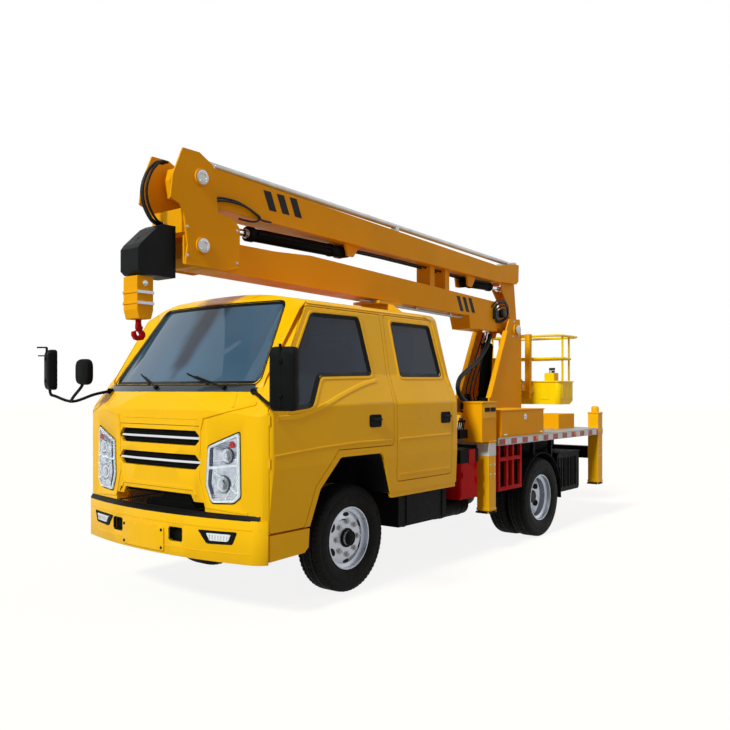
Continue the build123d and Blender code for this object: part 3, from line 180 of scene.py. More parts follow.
def finish(name, colour, rough, metal=0.0, coat=0.0, vary=0.08, patch=2.5, spread=0.08,
           grain=400.0, bump=0.04, dust=0.0, dust_top=0.9, dust_colour=None, wear=0.0,
           wear_colour=None, stretch=None, clear=0.0, ior=1.5, shine=0.5):
    """A paint, plastic, rubber, glass or metal with patches, grain, dust and worn edges."""
    skin = bpy.data.materials.new(name)
    tree = empty_tree(skin)
    colour = linear(colour)
    base = mixed(tree, ranged(tree, noise(tree, patch), 0.3, 0.7),
                 shade(colour, 1 - vary), shade(colour, 1 + vary))
    if wear:
        base = worn(tree, base, wear, linear(wear_colour) if wear_colour else shade(colour, 0.45))
    if dust:
        base = dusty(tree, base, dust, dust_top, linear(dust_colour) if dust_colour else ROAD_DUST)
    gloss = ranged(tree, noise(tree, patch * 3.1, 5.0), 0.3, 0.7, max(0.02, rough - spread),
                   min(1.0, rough + spread))
    inputs = {"Base Color": base, "Roughness": gloss, "Metallic": metal, "IOR": ior,
              "Specular IOR Level": shine, "Coat Weight": coat, "Coat Roughness": COAT_ROUGH,
              "Transmission Weight": clear}
    if bump:
        height = noise(tree, grain, 3.0, 0.6, stretch)
        relief = wired(tree, "ShaderNodeBump", {"Strength": bump, "Distance": 0.002,
                                                "Height": height})
        inputs["Normal"] = relief.outputs["Normal"]
    shader = wired(tree, "ShaderNodeBsdfPrincipled", inputs)
    wired(tree, "ShaderNodeOutputMaterial", {"Surface": shader.outputs[0]})
    return skin


YELLOW = finish("yellow_paint", (248, 182, 8), 0.32, coat=0.05, vary=0.025, bump=0.02,
                dust=0.2, dust_top=0.7, wear=0.22, dust_colour=(150, 100, 30), shine=0.1)
BOOM_YELLOW = finish("boom_paint", (242, 160, 5), 0.48, vary=0.05, bump=0.03,
                     patch=1.6, wear=0.4, wear_colour=(140, 84, 12), shine=0.08)
FRAME_YELLOW = finish("frame_paint", (245, 172, 5), 0.42, coat=0.04, vary=0.06,
                      bump=0.05, patch=3.0, dust=0.3, dust_top=0.6, dust_colour=(120, 84, 30),
                      wear=0.6, wear_colour=(96, 76, 50), shine=0.13)
BASKET_YELLOW = finish("basket_fibre", (252, 206, 8), 0.38, coat=0.06, vary=0.05,
                       bump=0.08, grain=180.0, shine=0.12)
RED = finish("red_paint", (184, 10, 12), 0.5, vary=0.12, dust=0.05,
             dust_colour=(90, 30, 24), wear=0.5, wear_colour=(60, 16, 14), shine=0.06)
BLACK = finish("chassis_black", (13, 13, 14), 0.6, vary=0.25, patch=6.0,
               bump=0.12, grain=160.0, dust=0.08, dust_colour=(46, 40, 33), shine=0.04)
PLASTIC = finish("black_plastic", (13, 13, 15), 0.55, vary=0.2, bump=0.12,
                 grain=700.0, patch=8.0, shine=0.06)
COVER = finish("winch_cover", (13, 14, 17), 0.46, coat=0.02, vary=0.15,
               bump=0.04, patch=5.0, shine=0.08)
TRIM = finish("dark_trim", (50, 47, 45), 0.8, vary=0.2, bump=0.3, grain=900.0,
              patch=9.0, shine=0.3)
SEAT_CLOTH = finish("seat_cloth", (78, 72, 70), 0.9, vary=0.18, bump=0.5,
                    grain=1500.0, patch=12.0)
GREY = finish("grey_steel", (172, 172, 174), 0.42, metal=0.75, vary=0.10,
              bump=0.06, patch=7.0, stretch=(1, 8, 8))
DECK_PLATE = finish("deck_plate", (168, 168, 170), 0.5, metal=0.35, vary=0.10,
                    bump=0.06, patch=5.0, dust=0.1, dust_top=1.2, shine=0.3)
SILVER = finish("silver_paint", (186, 192, 204), 0.30, metal=0.7, vary=0.06,
                bump=0.03, dust=0.2, dust_top=0.7)
CHROME = finish("chrome", (225, 228, 232), 0.12, metal=1.0, vary=0.04, spread=0.05,
                bump=0.01)
RUBBER = finish("tyre_rubber", (16, 16, 17), 0.75, vary=0.2, patch=9.0, bump=0.2,
                grain=500.0, dust=0.1, dust_top=0.72, dust_colour=(56, 50, 44), shine=0.12)
SEAL = finish("seal_rubber", (8, 8, 9), 0.5, vary=0.2, bump=0.06, grain=500.0,
              shine=0.12)
IRON = finish("cast_iron", (40, 38, 37), 0.66, metal=0.4, vary=0.25, bump=0.3,
              grain=220.0, dust=0.3, dust_colour=(80, 68, 54), shine=0.3)
GLASS = finish("tinted_glass", (78, 94, 122), 0.03, vary=0.06, spread=0.012, bump=0.0,
               clear=0.8, ior=1.22, shine=0.2)
SCREEN_GLASS = finish("screen_glass", (92, 122, 158), 0.03, vary=0.14, patch=1.1,
                      spread=0.012, bump=0.0, clear=0.5, ior=1.35)
SCREEN_FOOT = finish("screen_foot", (40, 50, 64), 0.12, vary=0.1, spread=0.04,
                     bump=0.0, shine=0.4)
CLEAR = finish("lamp_cover", (244, 247, 250), 0.03, vary=0.01, spread=0.01,
               bump=0.0, clear=1.0, ior=1.3)
LAMP_BOWL = finish("lamp_bowl", (226, 228, 234), 0.16, metal=0.8, vary=0.08,
                   spread=0.06, patch=20.0, bump=0.04)
LAMP_BASE = finish("lamp_base", (196, 201, 212), 0.18, metal=0.7, vary=0.5,
                   spread=0.08, patch=26.0, bump=0.05)
LAMP_WHITE = finish("lamp_white", (236, 238, 244), 0.25, metal=0.1, vary=0.04,
                    patch=20.0, bump=0.02)
LAMP_DARK = finish("lamp_shadow", (52, 58, 84), 0.25, metal=0.3, vary=0.15,
                   patch=20.0, bump=0.04, shine=0.3)
LAMP_RED = finish("lamp_red", (190, 16, 30), 0.2, vary=0.1, bump=0.1, grain=900.0,
                  patch=30.0, shine=0.3)
LAMP_AMBER = finish("lamp_amber", (232, 112, 14), 0.2, vary=0.1, bump=0.1,
                    grain=900.0, patch=30.0, shine=0.3)
TAPE_WHITE = finish("tape_white", (208, 206, 216), 0.35, vary=0.06, bump=0.08,
                    grain=1200.0, dust=0.1, dust_top=1.2)
TAPE_RED = finish("tape_red", (168, 62, 60), 0.35, vary=0.08, bump=0.08, grain=1200.0,
                  dust=0.1, dust_top=1.2, shine=0.2)
STRIPE = finish("stripe_black", (12, 10, 10), 0.5, vary=0.2, bump=0.03,
                shine=0.12)
MIRROR = finish("mirror_glass", (205, 212, 220), 0.04, metal=1.0, vary=0.02,
                spread=0.02, bump=0.0)
HOSE = finish("hose_rubber", (11, 11, 13), 0.5, vary=0.2, bump=0.2,
              grain=800.0, patch=20.0, shine=0.2)

SLOT_FINISH = {
    "yellow": YELLOW, "red": RED, "chassis_black": BLACK, "black_plastic": PLASTIC,
    "dark_trim": TRIM, "grey_metal": GREY, "silver": SILVER, "chrome": CHROME,
    "tyre": RUBBER, "glass": GLASS, "lamp_glass": LAMP_BASE, "cast_iron": IRON,
}
NODE_FINISH = {"fixed_glass": SCREEN_GLASS, "deck": DECK_PLATE, "winch": COVER,
               "subframe": BLACK, "grille": BLACK}
NODE_FINISH.update(dict.fromkeys(("lower_boom", "upper_boom", "boom_head", "jib", "turret",
                                  "hook_block", "deck_boxes"), BOOM_YELLOW))
NODE_FINISH.update(dict.fromkeys(("boom_rest", "outrigger_frames", "front_left_leg",
                                  "front_right_leg", "rear_left_leg", "rear_right_leg",
                                  "basket_frame"), FRAME_YELLOW))
NODE_FINISH.update(dict.fromkeys(("valve_box", "basket", "basket_rails"), BASKET_YELLOW))


def soften(thing, width, angle):
    """Round edges where an object's faces meet at more than an angle."""
    edge = thing.modifiers.new("edge", "BEVEL")
    edge.width = width
    edge.segments = 2
    edge.limit_method = "ANGLE"
    edge.angle_limit = radians(angle)
    edge.harden_normals = True


slot_of = {part["node"]: part["material_slot"] for part in frame["record"]["subparts"]}
for name, node in nodes.items():
    node.data.materials.clear()
    node.data.materials.append(NODE_FINISH.get(name) or SLOT_FINISH[slot_of[name]])
    weld = node.modifiers.new("weld", "WELD")
    weld.merge_threshold = WELD_GAP
    if not name.endswith("glass"):
        flat = node.modifiers.new("flat", "DECIMATE")
        flat.decimate_type = "DISSOLVE"
        flat.angle_limit = radians(0.6)
        soften(node, 0.0022, 32)


# Shapes

class Form:
    """The points and faces of a piece, in drawing millimetres."""

    def __init__(self):
        self.points = []
        self.faces = []

    def add(self, points, faces):
        start = len(self.points)
        self.points.extend([tuple(point) for point in points])
        self.faces.extend([tuple(start + number for number in face) for face in faces])
        return self

    def skin(self, rows, loop=True, closed=False, first=True, last=True):
        """Rows of points joined by faces, with a face over the first and the last row.

        A loop joins each row's ends, and closed joins the last row to the first.
        """
        count = len(rows[0])
        faces = []
        for number in range(len(rows) if closed else len(rows) - 1):
            near = number * count
            far = (number + 1) % len(rows) * count
            for step in range(count if loop else count - 1):
                after = (step + 1) % count
                faces.append((near + step, near + after, far + after, far + step))
        if first and not closed:
            faces.append(tuple(range(count)))
        if last and not closed:
            end = range((len(rows) - 1) * count, len(rows) * count)
            faces.append(tuple(reversed(end) if first else end))
        return self.add([point for row in rows for point in row], faces)

    def prism(self, outline, axis, low, high):
        """An outline drawn across an axis, made solid between two places on it."""
        rows = []
        for level in sorted((low, high)):
            rows.append([{"x": (level, u, v), "y": (u, level, v), "z": (u, v, level)}[axis]
                         for u, v in outline])
        return self.skin(rows)

    def block(self, x0, x1, y0, y1, z0, z1):
        """A box between three pairs of limits."""
        return self.prism([(x0, z0), (x1, z0), (x1, z1), (x0, z1)], "y", y0, y1)

    def post(self, x, y, half, z0, z1):
        """A square box about an upright line."""
        return self.block(x - half, x + half, y - half, y + half, z0, z1)

    def turned(self, profile, centre, direction, sides=32, notch=None, closed=False):
        """A profile of (along, radius) turned about a direction through a centre."""
        axis = Vector(direction).normalized()
        across = axis.orthogonal().normalized()
        up = axis.cross(across)
        rows = []
        for number, (along, radius) in enumerate(profile):
            middle = Vector(centre) + axis * along
            row = []
            for turn in range(sides):
                angle = 2 * pi * turn / sides
                reach = radius - (notch(turn, number) if notch else 0)
                row.append(middle + (across * cos(angle) + up * sin(angle)) * reach)
            rows.append(row)
        return self.skin(rows, closed=closed)

    def rod(self, start, end, radius, sides=14):
        """A round bar with softened ends."""
        run = Vector(end) - Vector(start)
        length = run.length
        soft = min(radius * 0.2, length * 0.2)
        profile = [(0, radius - soft), (soft, radius), (length - soft, radius),
                   (length, radius - soft)]
        return self.turned(profile, start, run, sides)

    def bolt(self, centre, direction, radius=10, height=8):
        """A hexagon head on its washer."""
        washer = [(-1, radius * 1.35), (1.6, radius * 1.35), (2.2, radius * 1.2)]
        self.turned(washer, centre, direction, 16)
        head = [(2, radius), (height - 1.4, radius), (height, radius * 0.8)]
        return self.turned(head, centre, direction, 6)

    def tube(self, route, radius, sides=10, steps=8, closed=False):
        """A round tube along a smooth line through the points of a route."""
        line = smooth_line(route, steps, closed) if steps > 1 else [Vector(p) for p in route]
        rings = []
        normal = None
        for number, point in enumerate(line):
            before = line[number - 1] if number or closed else point
            after = line[(number + 1) % len(line)] if number < len(line) - 1 or closed else point
            along = (after - before).normalized()
            if normal is None:
                normal = along.orthogonal().normalized()
            normal = (normal - along * normal.dot(along)).normalized()
            side = along.cross(normal)
            rings.append([point + (normal * cos(2 * pi * s / sides)
                                   + side * sin(2 * pi * s / sides)) * radius
                          for s in range(sides)])
        return self.skin(rings, closed=closed)

    def wire(self, points, lay, height, radius, step=60.0):
        """A thin straight wire laid on a surface."""
        route = [lay(u, v, height) for u, v in strung(points, step)]
        return self.tube(route, radius, 6, 1)

    def band(self, path, lay, half_width, rise, closed=False, sink=2.0):
        """A flat strip laid along a path on a surface, its edges turned down to it."""
        rows = []
        count = len(path)
        for number, spot in enumerate(path):
            spot = Vector(spot)
            before = Vector(path[number - 1]) if number or closed else spot
            after = Vector(path[(number + 1) % count]) if number < count - 1 or closed else spot
            along = (after - before).normalized()
            side = Vector((-along.y, along.x)) * half_width
            rows.append([lay(*(spot + side * share), height) for share, height in (
                (-1, -sink), (-0.96, rise * 0.6), (-0.8, rise),
                (0.8, rise), (0.96, rise * 0.6), (1, -sink))])
        return self.skin(rows, loop=False, closed=closed)

    def line(self, points, lay, half_width, rise, step=40.0, sink=2.0, sign=1):
        """A strip along straight runs on a surface, turned over by a sign of -1."""
        path = strung(sided(points, sign), step)
        return self.band(path, lay, half_width, rise, sink=sink)

    def patch(self, outline, lay, rings):
        """A raised patch on a surface: rings of (share towards the middle, height)."""
        spots = [Vector(spot) for spot in outline]
        middle = sum(spots, Vector((0, 0))) / len(spots)
        rows = [[lay(*(middle + (spot - middle) * share), height) for spot in spots]
                for share, height in rings]
        return self.skin(rows, first=False)


def sided(points, sign):
    """Points (y, z) drawn for the left side, on the side of the sign."""
    return [(sign * y, z) for y, z in points]


def circle(middle, radius, count, start=0.0):
    """Points evenly round a middle."""
    angles = [start + 2 * pi * number / count for number in range(count)]
    return [(middle[0] + radius * cos(angle), middle[1] + radius * sin(angle))
            for angle in angles]


def smooth_line(route, steps, closed=False):
    """Points on a smooth line that passes through every point of a route."""
    spots = [Vector(point) for point in route]
    count = len(spots)
    line = []
    for number in range(count if closed else count - 1):
        if closed:
            a, b, c, d = [spots[(number + k) % count] for k in (-1, 0, 1, 2)]
        else:
            b, c = spots[number], spots[number + 1]
            a = spots[number - 1] if number else b + (b - c)
            d = spots[number + 2] if number + 2 < count else c + (c - b)
        for step in range(steps):
            t = step / steps
            line.append(((2 * b) + (c - a) * t + (2 * a - 5 * b + 4 * c - d) * t ** 2
                         + (3 * b - a - 3 * c + d) * t ** 3) * 0.5)
    if not closed:
        line.append(spots[-1])
    return line


def rounded(outline, radius, step=45.0):
    """A closed outline with round corners and points no further apart than a step."""
    spots = [Vector(point) for point in outline]
    line = []
    for number, spot in enumerate(spots):
        before = spots[number - 1]
        after = spots[(number + 1) % len(spots)]
        back = min(radius, (before - spot).length * 0.45)
        ahead = min(radius, (after - spot).length * 0.45)
        start = spot + (before - spot).normalized() * back
        end = spot + (after - spot).normalized() * ahead
        for share in (0, 0.2, 0.4, 0.6, 0.8, 1):
            line.append(start * (1 - share) ** 2 + spot * 2 * share * (1 - share)
                        + end * share ** 2)
    full = []
    for number, spot in enumerate(line):
        after = line[(number + 1) % len(line)]
        full.append(spot)
        extra = int((after - spot).length / step)
        for part in range(1, extra + 1):
            full.append(spot.lerp(after, part / (extra + 1)))
    return [tuple(spot) for spot in full]


def panel(u0, u1, v0, v1, radius, step=60.0):
    """A rectangle between two pairs of limits, with round corners."""
    return rounded([(u0, v0), (u1, v0), (u1, v1), (u0, v1)], radius, step)


def inset(outline, depth):
    """A closed outline with each corner moved in by a depth along its bisector."""
    spots = [Vector(point) for point in outline]
    area = sum(spots[k - 1].cross(spots[k]) for k in range(len(spots)))
    line = []
    for number, spot in enumerate(spots):
        before = spots[number - 1]
        after = spots[(number + 1) % len(spots)]
        first = (before - spot).normalized()
        second = (after - spot).normalized()
        bend = abs(first.cross(second))
        if (first + second).length < 0.05 or bend < 0.05:
            shift = Vector((-first.y, first.x)) * depth
        else:
            shift = (first + second) / bend * depth
        if (spot - before).cross(after - spot) * area < 0:
            shift = -shift
        line.append(tuple(spot + shift))
    return line


def strung(points, step=40.0):
    """An open path with points no further apart than a step."""
    full = []
    for first, second in zip(points, points[1:]):
        a, b = Vector(first), Vector(second)
        parts = max(1, int((b - a).length / step))
        full.extend([tuple(a.lerp(b, part / parts)) for part in range(parts)])
    full.append(tuple(points[-1]))
    return full


def surface(*names):
    """The meshes of some CAD nodes as one tree for ray casts."""
    points, faces = [], []
    for name in names:
        mesh = nodes[name].data
        start = len(points)
        points.extend([vertex.co.copy() for vertex in mesh.vertices])
        faces.extend([[start + v for v in face.vertices] for face in mesh.polygons])
    return BVHTree.FromPolygons(points, faces)


def layer(tree, axis, sign, fallback):
    """A function that lays a drawn spot on a surface, seen along an axis."""
    def on_axis(level, u, v):
        return {"x": (level, u, v), "y": (u, level, v), "z": (u, v, level)}[axis]

    def lay(u, v, height):
        start = place(on_axis(4000.0 * sign, u, v))
        hit = tree.ray_cast(start, Vector(on_axis(-sign, 0, 0)))[0]
        if hit is None:
            level = fallback
        else:
            level = {"x": hit.x / MM - SHIFT_X, "y": hit.y / MM, "z": hit.z / MM}[axis]
        return on_axis(level + height * sign, u, v)
    return lay


def piece(name, form, skin, body="truck", bevel=0.0, replace=()):
    """A form made into an object that rides on a CAD body."""
    mesh = bpy.data.meshes.new(name)
    mesh.from_pydata([place(point) for point in form.points], [], form.faces)
    work = bmesh.new()
    work.from_mesh(mesh)
    bmesh.ops.remove_doubles(work, verts=work.verts, dist=WELD_GAP)
    bmesh.ops.recalc_face_normals(work, faces=work.faces)
    for face in work.faces:
        face.smooth = True
    work.to_mesh(mesh)
    work.free()
    mesh.set_sharp_from_angle(angle=SMOOTH_ANGLE)
    mesh.materials.append(skin)
    thing = in_scene(name, mesh)
    if bevel:
        soften(thing, bevel * MM, 35)
    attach(thing, body)
    if replace:
        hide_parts(*replace)
    return thing


# Wheels

# The profile of a tyre as (across, radius), from its left wall to the middle. Below, SHOULDER
# and RIB_CUT give the depth of the cuts at some points of the profile.
TREAD = [
    (70, 223), (79, 234), (84, 240), (93, 262), (96.8, 285), (97.2, 300), (96.8, 316),
    (95.4, 318), (95.4, 322), (96.4, 324), (94.5, 340), (91.5, 356), (88, 364), (82, 372),
    (72, 378), (56, 379.6), (54, 370), (46, 370), (44, 379.8), (18, 380), (16, 370.5),
    (8, 370.5), (6, 380),
]
TREAD += [(-along, radius) for along, radius in reversed(TREAD)]
TREAD_STEPS = 192
SHOULDER = {12: 5, 13: 8, 14: 9, 31: 9, 32: 8, 33: 5}
RIB_CUT = {18: 3, 19: 3, 22: 3, 23: 3, 26: 3, 27: 3}
NUT_RING_R = 118
HAND_HOLE_RING_R = 167
HAND_HOLES = 6
VALVE_TURN = 1.1
WHEELS = {
    "front": {"body": "wheel", "tyre": "tyre", "tread": "tyre_tread", "rim": "rim", "x": 0,
              "tyre_y": (690,), "rim_y": 742, "cap_skin": PLASTIC, "cap_ring": 43,
              "cap_rise": 4, "cap_bolt": (4.5, 6),
              "cap": [(-6, 53), (3, 53), (5, 50), (8, 34), (11, 30), (12, 12)]},
    "rear": {"body": "wheels", "tyre": "tyres", "tread": "tyre_treads", "rim": "rims",
             "x": -WHEELBASE, "tyre_y": (816, 597), "rim_y": 720, "cap_skin": IRON,
             "cap_ring": 48, "cap_rise": 5, "cap_bolt": (5, 7),
             "cap": [(-8, 62), (2, 62), (6, 58), (7, 40), (9, 12)]},
}


def tread_notch(turn, number):
    """How far the tread is cut back at one step of the turn."""
    if turn % 3 == 0:
        return SHOULDER.get(number, 0)
    if turn % 6 == 2:
        return RIB_CUT.get(number, 0)
    return 0


def hand_holes(hub, lay):
    """The dark hand holes round a wheel's dish."""
    form = Form()
    for spot in circle(hub, HAND_HOLE_RING_R, HAND_HOLES, pi / HAND_HOLES):
        middle = Vector(spot)
        out = (middle - Vector(hub)).normalized()
        side = Vector((-out.y, out.x))
        line = [tuple(middle + out * 15 * cos(t * pi / 10) + side * 33 * sin(t * pi / 10))
                for t in range(20)]
        form.patch(line, lay, [(1.0, 0.2), (1.0, 1.0), (0.6, 1.0), (0.3, 1.0)])
    return form


for side, sign in SIDES:
    out = (0, sign, 0)
    for end, kind in WHEELS.items():
        name = f"{end}_{side}"
        body = f"{name}_{kind['body']}"
        hub = (kind["x"], TYRE_R)
        treads = Form()
        for y in kind["tyre_y"]:
            treads.turned(TREAD, (hub[0], sign * y, TYRE_R), (0, 1, 0), TREAD_STEPS,
                          tread_notch, closed=True)
        piece(f"{name}_{kind['tread']}", treads, RUBBER, body,
              replace=(f"{name}_{kind['tyre']}",))
        lay = layer(surface(f"{name}_{kind['rim']}"), "y", sign, sign * kind["rim_y"])
        face_y = lay(hub[0] + 88, TYRE_R, 0)[1]
        cap_y = lay(*hub, 0)[1]
        nuts = Form()
        for x, z in circle(hub, NUT_RING_R, 8):
            nuts.bolt((x, face_y, z), out, 18, 20)
            nuts.rod((x, face_y, z), (x, face_y + sign * 28, z), 8, 10)
        piece(f"{name}_wheel_nuts", nuts, GREY, body)
        piece(f"{name}_hand_holes", hand_holes(hub, lay), SEAL, body)
        cap = Form().turned(kind["cap"], (hub[0], cap_y, TYRE_R), out, 40)
        for x, z in circle(hub, kind["cap_ring"], 8):
            cap.bolt((x, cap_y + sign * kind["cap_rise"], z), out, *kind["cap_bolt"])
        if end == "front":
            cap.turned([(0, 69), (8, 68), (10, 62)], (0, face_y, TYRE_R), out, 40)
        piece(f"{name}_hub_cap", cap, kind["cap_skin"], body)
        if end == "front":
            x, z = cos(VALVE_TURN), sin(VALVE_TURN)
            valve = Form().rod((120 * x, face_y - sign * 4, TYRE_R + 150 * z),
                               (126 * x, face_y + sign * 34, TYRE_R + 156 * z), 4.5, 10)
            piece(f"{name}_valve", valve, HOSE, body)


# Windows

SCREEN = [(765, 1475), (632, 2035), (-632, 2035), (-765, 1475)]
BACK_WINDOW = [(620, 1500), (580, 1930), (-580, 1930), (-620, 1500)]
DOOR_WINDOWS = {
    "front": [(800, 1308), (795, 1420), (455, 1945), (-45, 1950), (-118, 1545), (440, 1530),
              (590, 1328)],
    "rear": [(-430, 1942), (-945, 1942), (-1032, 1545), (-472, 1540)],
}
HANDLE_X = {"front": (-150, -10), "rear": (-1070, -930)}
HANDLE_Z = (1172, 1262)
DOOR_CREASE = {"front": [(-270, 1072), (120, 1074), (500, 1060), (925, 1030)],
               "rear": [(-1075, 1080), (-700, 1078), (-370, 1074)]}
FRONT_SWEEP = [(905, 1262), (700, 1272), (500, 1325), (250, 1408), (0, 1478), (-150, 1506)]
REAR_FOOT_LINE = [(-1060, 808), (-700, 810), (-380, 812)]

front_lay = layer(surface("cab_shell", "fixed_glass"), "x", 1, 1000)
rear_lay = layer(surface("cab_shell", "fixed_glass"), "x", -1, -1170)


def border(outline, depth, corner, lay, half_width, rise, sink=2.0):
    """A strip all round an opening, inside its outline by a depth."""
    path = rounded(inset(outline, depth), corner)
    return Form().band(path, lay, half_width, rise, closed=True, sink=sink)


piece("windscreen_seal", border(SCREEN, 4, 45, front_lay, 14, 5), SEAL)
piece("rear_window_seal", border(BACK_WINDOW, 5, 40, rear_lay, 14, 5), SEAL)

for side, sign in SIDES:
    for end, outline in DOOR_WINDOWS.items():
        name = f"{end}_{side}"
        body = f"{name}_door"
        lay = layer(surface(body, f"{name}_glass"), "y", sign, sign * 900)
        piece(f"{name}_window_seal", border(outline, 5, 30, lay, 12, 4), SEAL, body)
        piece(f"{name}_window_rim", border(outline, -17, 40, lay, 9, 5, 1), YELLOW, body)
        x0, x1 = HANDLE_X[end]
        middle = sum(HANDLE_Z) / 2
        handle = Form().patch(panel(x0, x1, *HANDLE_Z, 22, 30), lay,
                              [(1.0, -2), (1.0, 2), (0.93, 5), (0.86, 5), (0.80, 1), (0.5, 0.5)])
        handle.tube([lay(x0 + 12, middle + 8, 4), lay(x0 + 30, middle + 10, 17),
                     lay(x1 - 30, middle + 10, 17), lay(x1 - 12, middle + 8, 4)], 10, 12, 6)
        key = lay(x1 - 26, HANDLE_Z[0] + 20, 2)
        handle.turned([(0, 9), (4, 8.5), (5, 7)], key, (0, sign, 0), 20)
        piece(f"{name}_handle", handle, PLASTIC, body)
        ribs = Form().line(DOOR_CREASE[end], lay, 9, 2.6, sink=0.5)
        if end == "front":
            ribs.band(smooth_line(FRONT_SWEEP, 8), lay, 15, 5, sink=0.5)
        else:
            ribs.line(REAR_FOOT_LINE, lay, 8, 2.6, sink=0.5)
        piece(f"{name}_door_crease", ribs, YELLOW, body)

wipers = Form()
for pivot, tip in (((-100, 1452), (-372, 1538)), ((530, 1452), (178, 1538))):
    base = Vector(front_lay(*pivot, 10))
    wipers.rod(base + Vector((-12, 0, -4)), base + Vector((16, 0, 6)), 15)
    pivot, tip = Vector(pivot), Vector(tip)
    arm = [front_lay(*pivot.lerp(tip, share), 18) for share in (0, 0.3, 0.6, 0.85)]
    wipers.tube(arm, 6, 8, 4)
    heel = (pivot.x + (tip.x - pivot.x) * 0.42, pivot.y + 22)
    blade = strung([heel, (tip.x - 60, tip.y + 8)], 60)
    wipers.tube([front_lay(y, z, 8) for y, z in blade], 6, 8, 2)
piece("wipers", wipers, SEAL)

cowl = Form().line([(-772, 1447), (772, 1447)], front_lay, 23, 2, 60)
piece("screen_cowl", cowl, SCREEN_FOOT)

gutter = Form()
for sign in SIGNS:
    lay = layer(surface("cab_shell"), "y", sign, sign * 800)
    gutter.line([(900, 1450), (560, 1962), (480, 2018), (-900, 2020), (-985, 1985),
                 (-1115, 1480)], lay, 7, 7, 60)
piece("roof_gutters", gutter, YELLOW)

# Front

SLOT_Z = (1128, 975)
MESH_Z = (670, 762)
LAMP = [(496, 1085), (745, 1180), (752, 775), (700, 735), (526, 725), (480, 835)]

# The round cups of a headlamp as (y, z, radius), and its bright bars as their two ends, half
# width, rise and step.
LAMP_CUPS = ((655, 1030, 44), (622, 852, 50))
LAMP_BARS = (((512, 948), (738, 972), 9, 10, 40), ((545, 992), (738, 1010), 3, 8, 40),
             ((556, 926), (724, 800), 5, 8, 30), ((640, 760), (730, 905), 4, 7, 30))
LAMP_EDGE = [(528, 1074), (524, 960), (512, 850), (545, 760)]
FOG = [(450, 562), (752, 568), (718, 488), (522, 480)]
FOG_BAR = [(520, 548), (706, 551), (690, 505), (548, 501)]

skin_lay = layer(surface("cab_shell", "grille", "headlamps"), "x", 1, 1090)
grille_lay = layer(surface("grille"), "x", 1, 1060)
low_lay = layer(surface("cab_shell", "bumper"), "x", 1, 1080)
bumper_lay = layer(surface("bumper"), "x", 1, 1100)

fins = Form()
for z in SLOT_Z:
    for step in range(-26, 27):
        y = step * 15.5
        reach = 38 if abs(y) < 380 else 20
        fins.wire([(y, z - reach), (y, z + reach)], grille_lay, 2, 1.7)
    for rise in (-30, -19, 19, 30):
        fins.wire([(-405, z + rise), (405, z + rise)], grille_lay, 4, 2.2)
piece("grille_fins", fins, PLASTIC)
lattice = Form()
for step in range(-17, 14):
    for z0, z1 in (reversed(MESH_Z), MESH_Z):
        lattice.wire([(step * 22, z0), (step * 22 + 88, z1)], grille_lay, 3, 2.4, 50)
piece("lower_mesh", lattice, PLASTIC)
mesh_frame = Form().line([(400, 676), (346, 764), (-346, 764), (-400, 676)], skin_lay, 7, 4)
piece("lower_mesh_frame", mesh_frame, PLASTIC)
piece("panel_foot_band", Form().line([(-890, 654), (890, 654)], low_lay, 15, 1.5, 50), SEAL)

creases = Form()
for sign in SIGNS:
    creases.line([(430, 1190), (452, 1262), (820, 1352)], skin_lay, 11, 7, 40, 0.5, sign)
    creases.line([(430, 1190), (418, 880), (478, 700), (800, 680)], skin_lay, 7, 4.5, 40, 0.5,
                 sign)
    creases.line([(640, 1412), (668, 1330)], skin_lay, 8, 5, 40, 0.5, sign)
creases.line([(-395, 1252), (395, 1252)], skin_lay, 5, 2.5, 50, 0.5)
creases.line([(-436, 690), (-376, 806), (376, 806), (436, 690)], skin_lay, 10, 6, 40, 0.5)
piece("front_panel_creases", creases, YELLOW)
gap = Form().line([(-430, 1206), (430, 1206)], skin_lay, 1.8, 0.6, 50, 0.4)
piece("front_panel_gap", gap, SEAL)

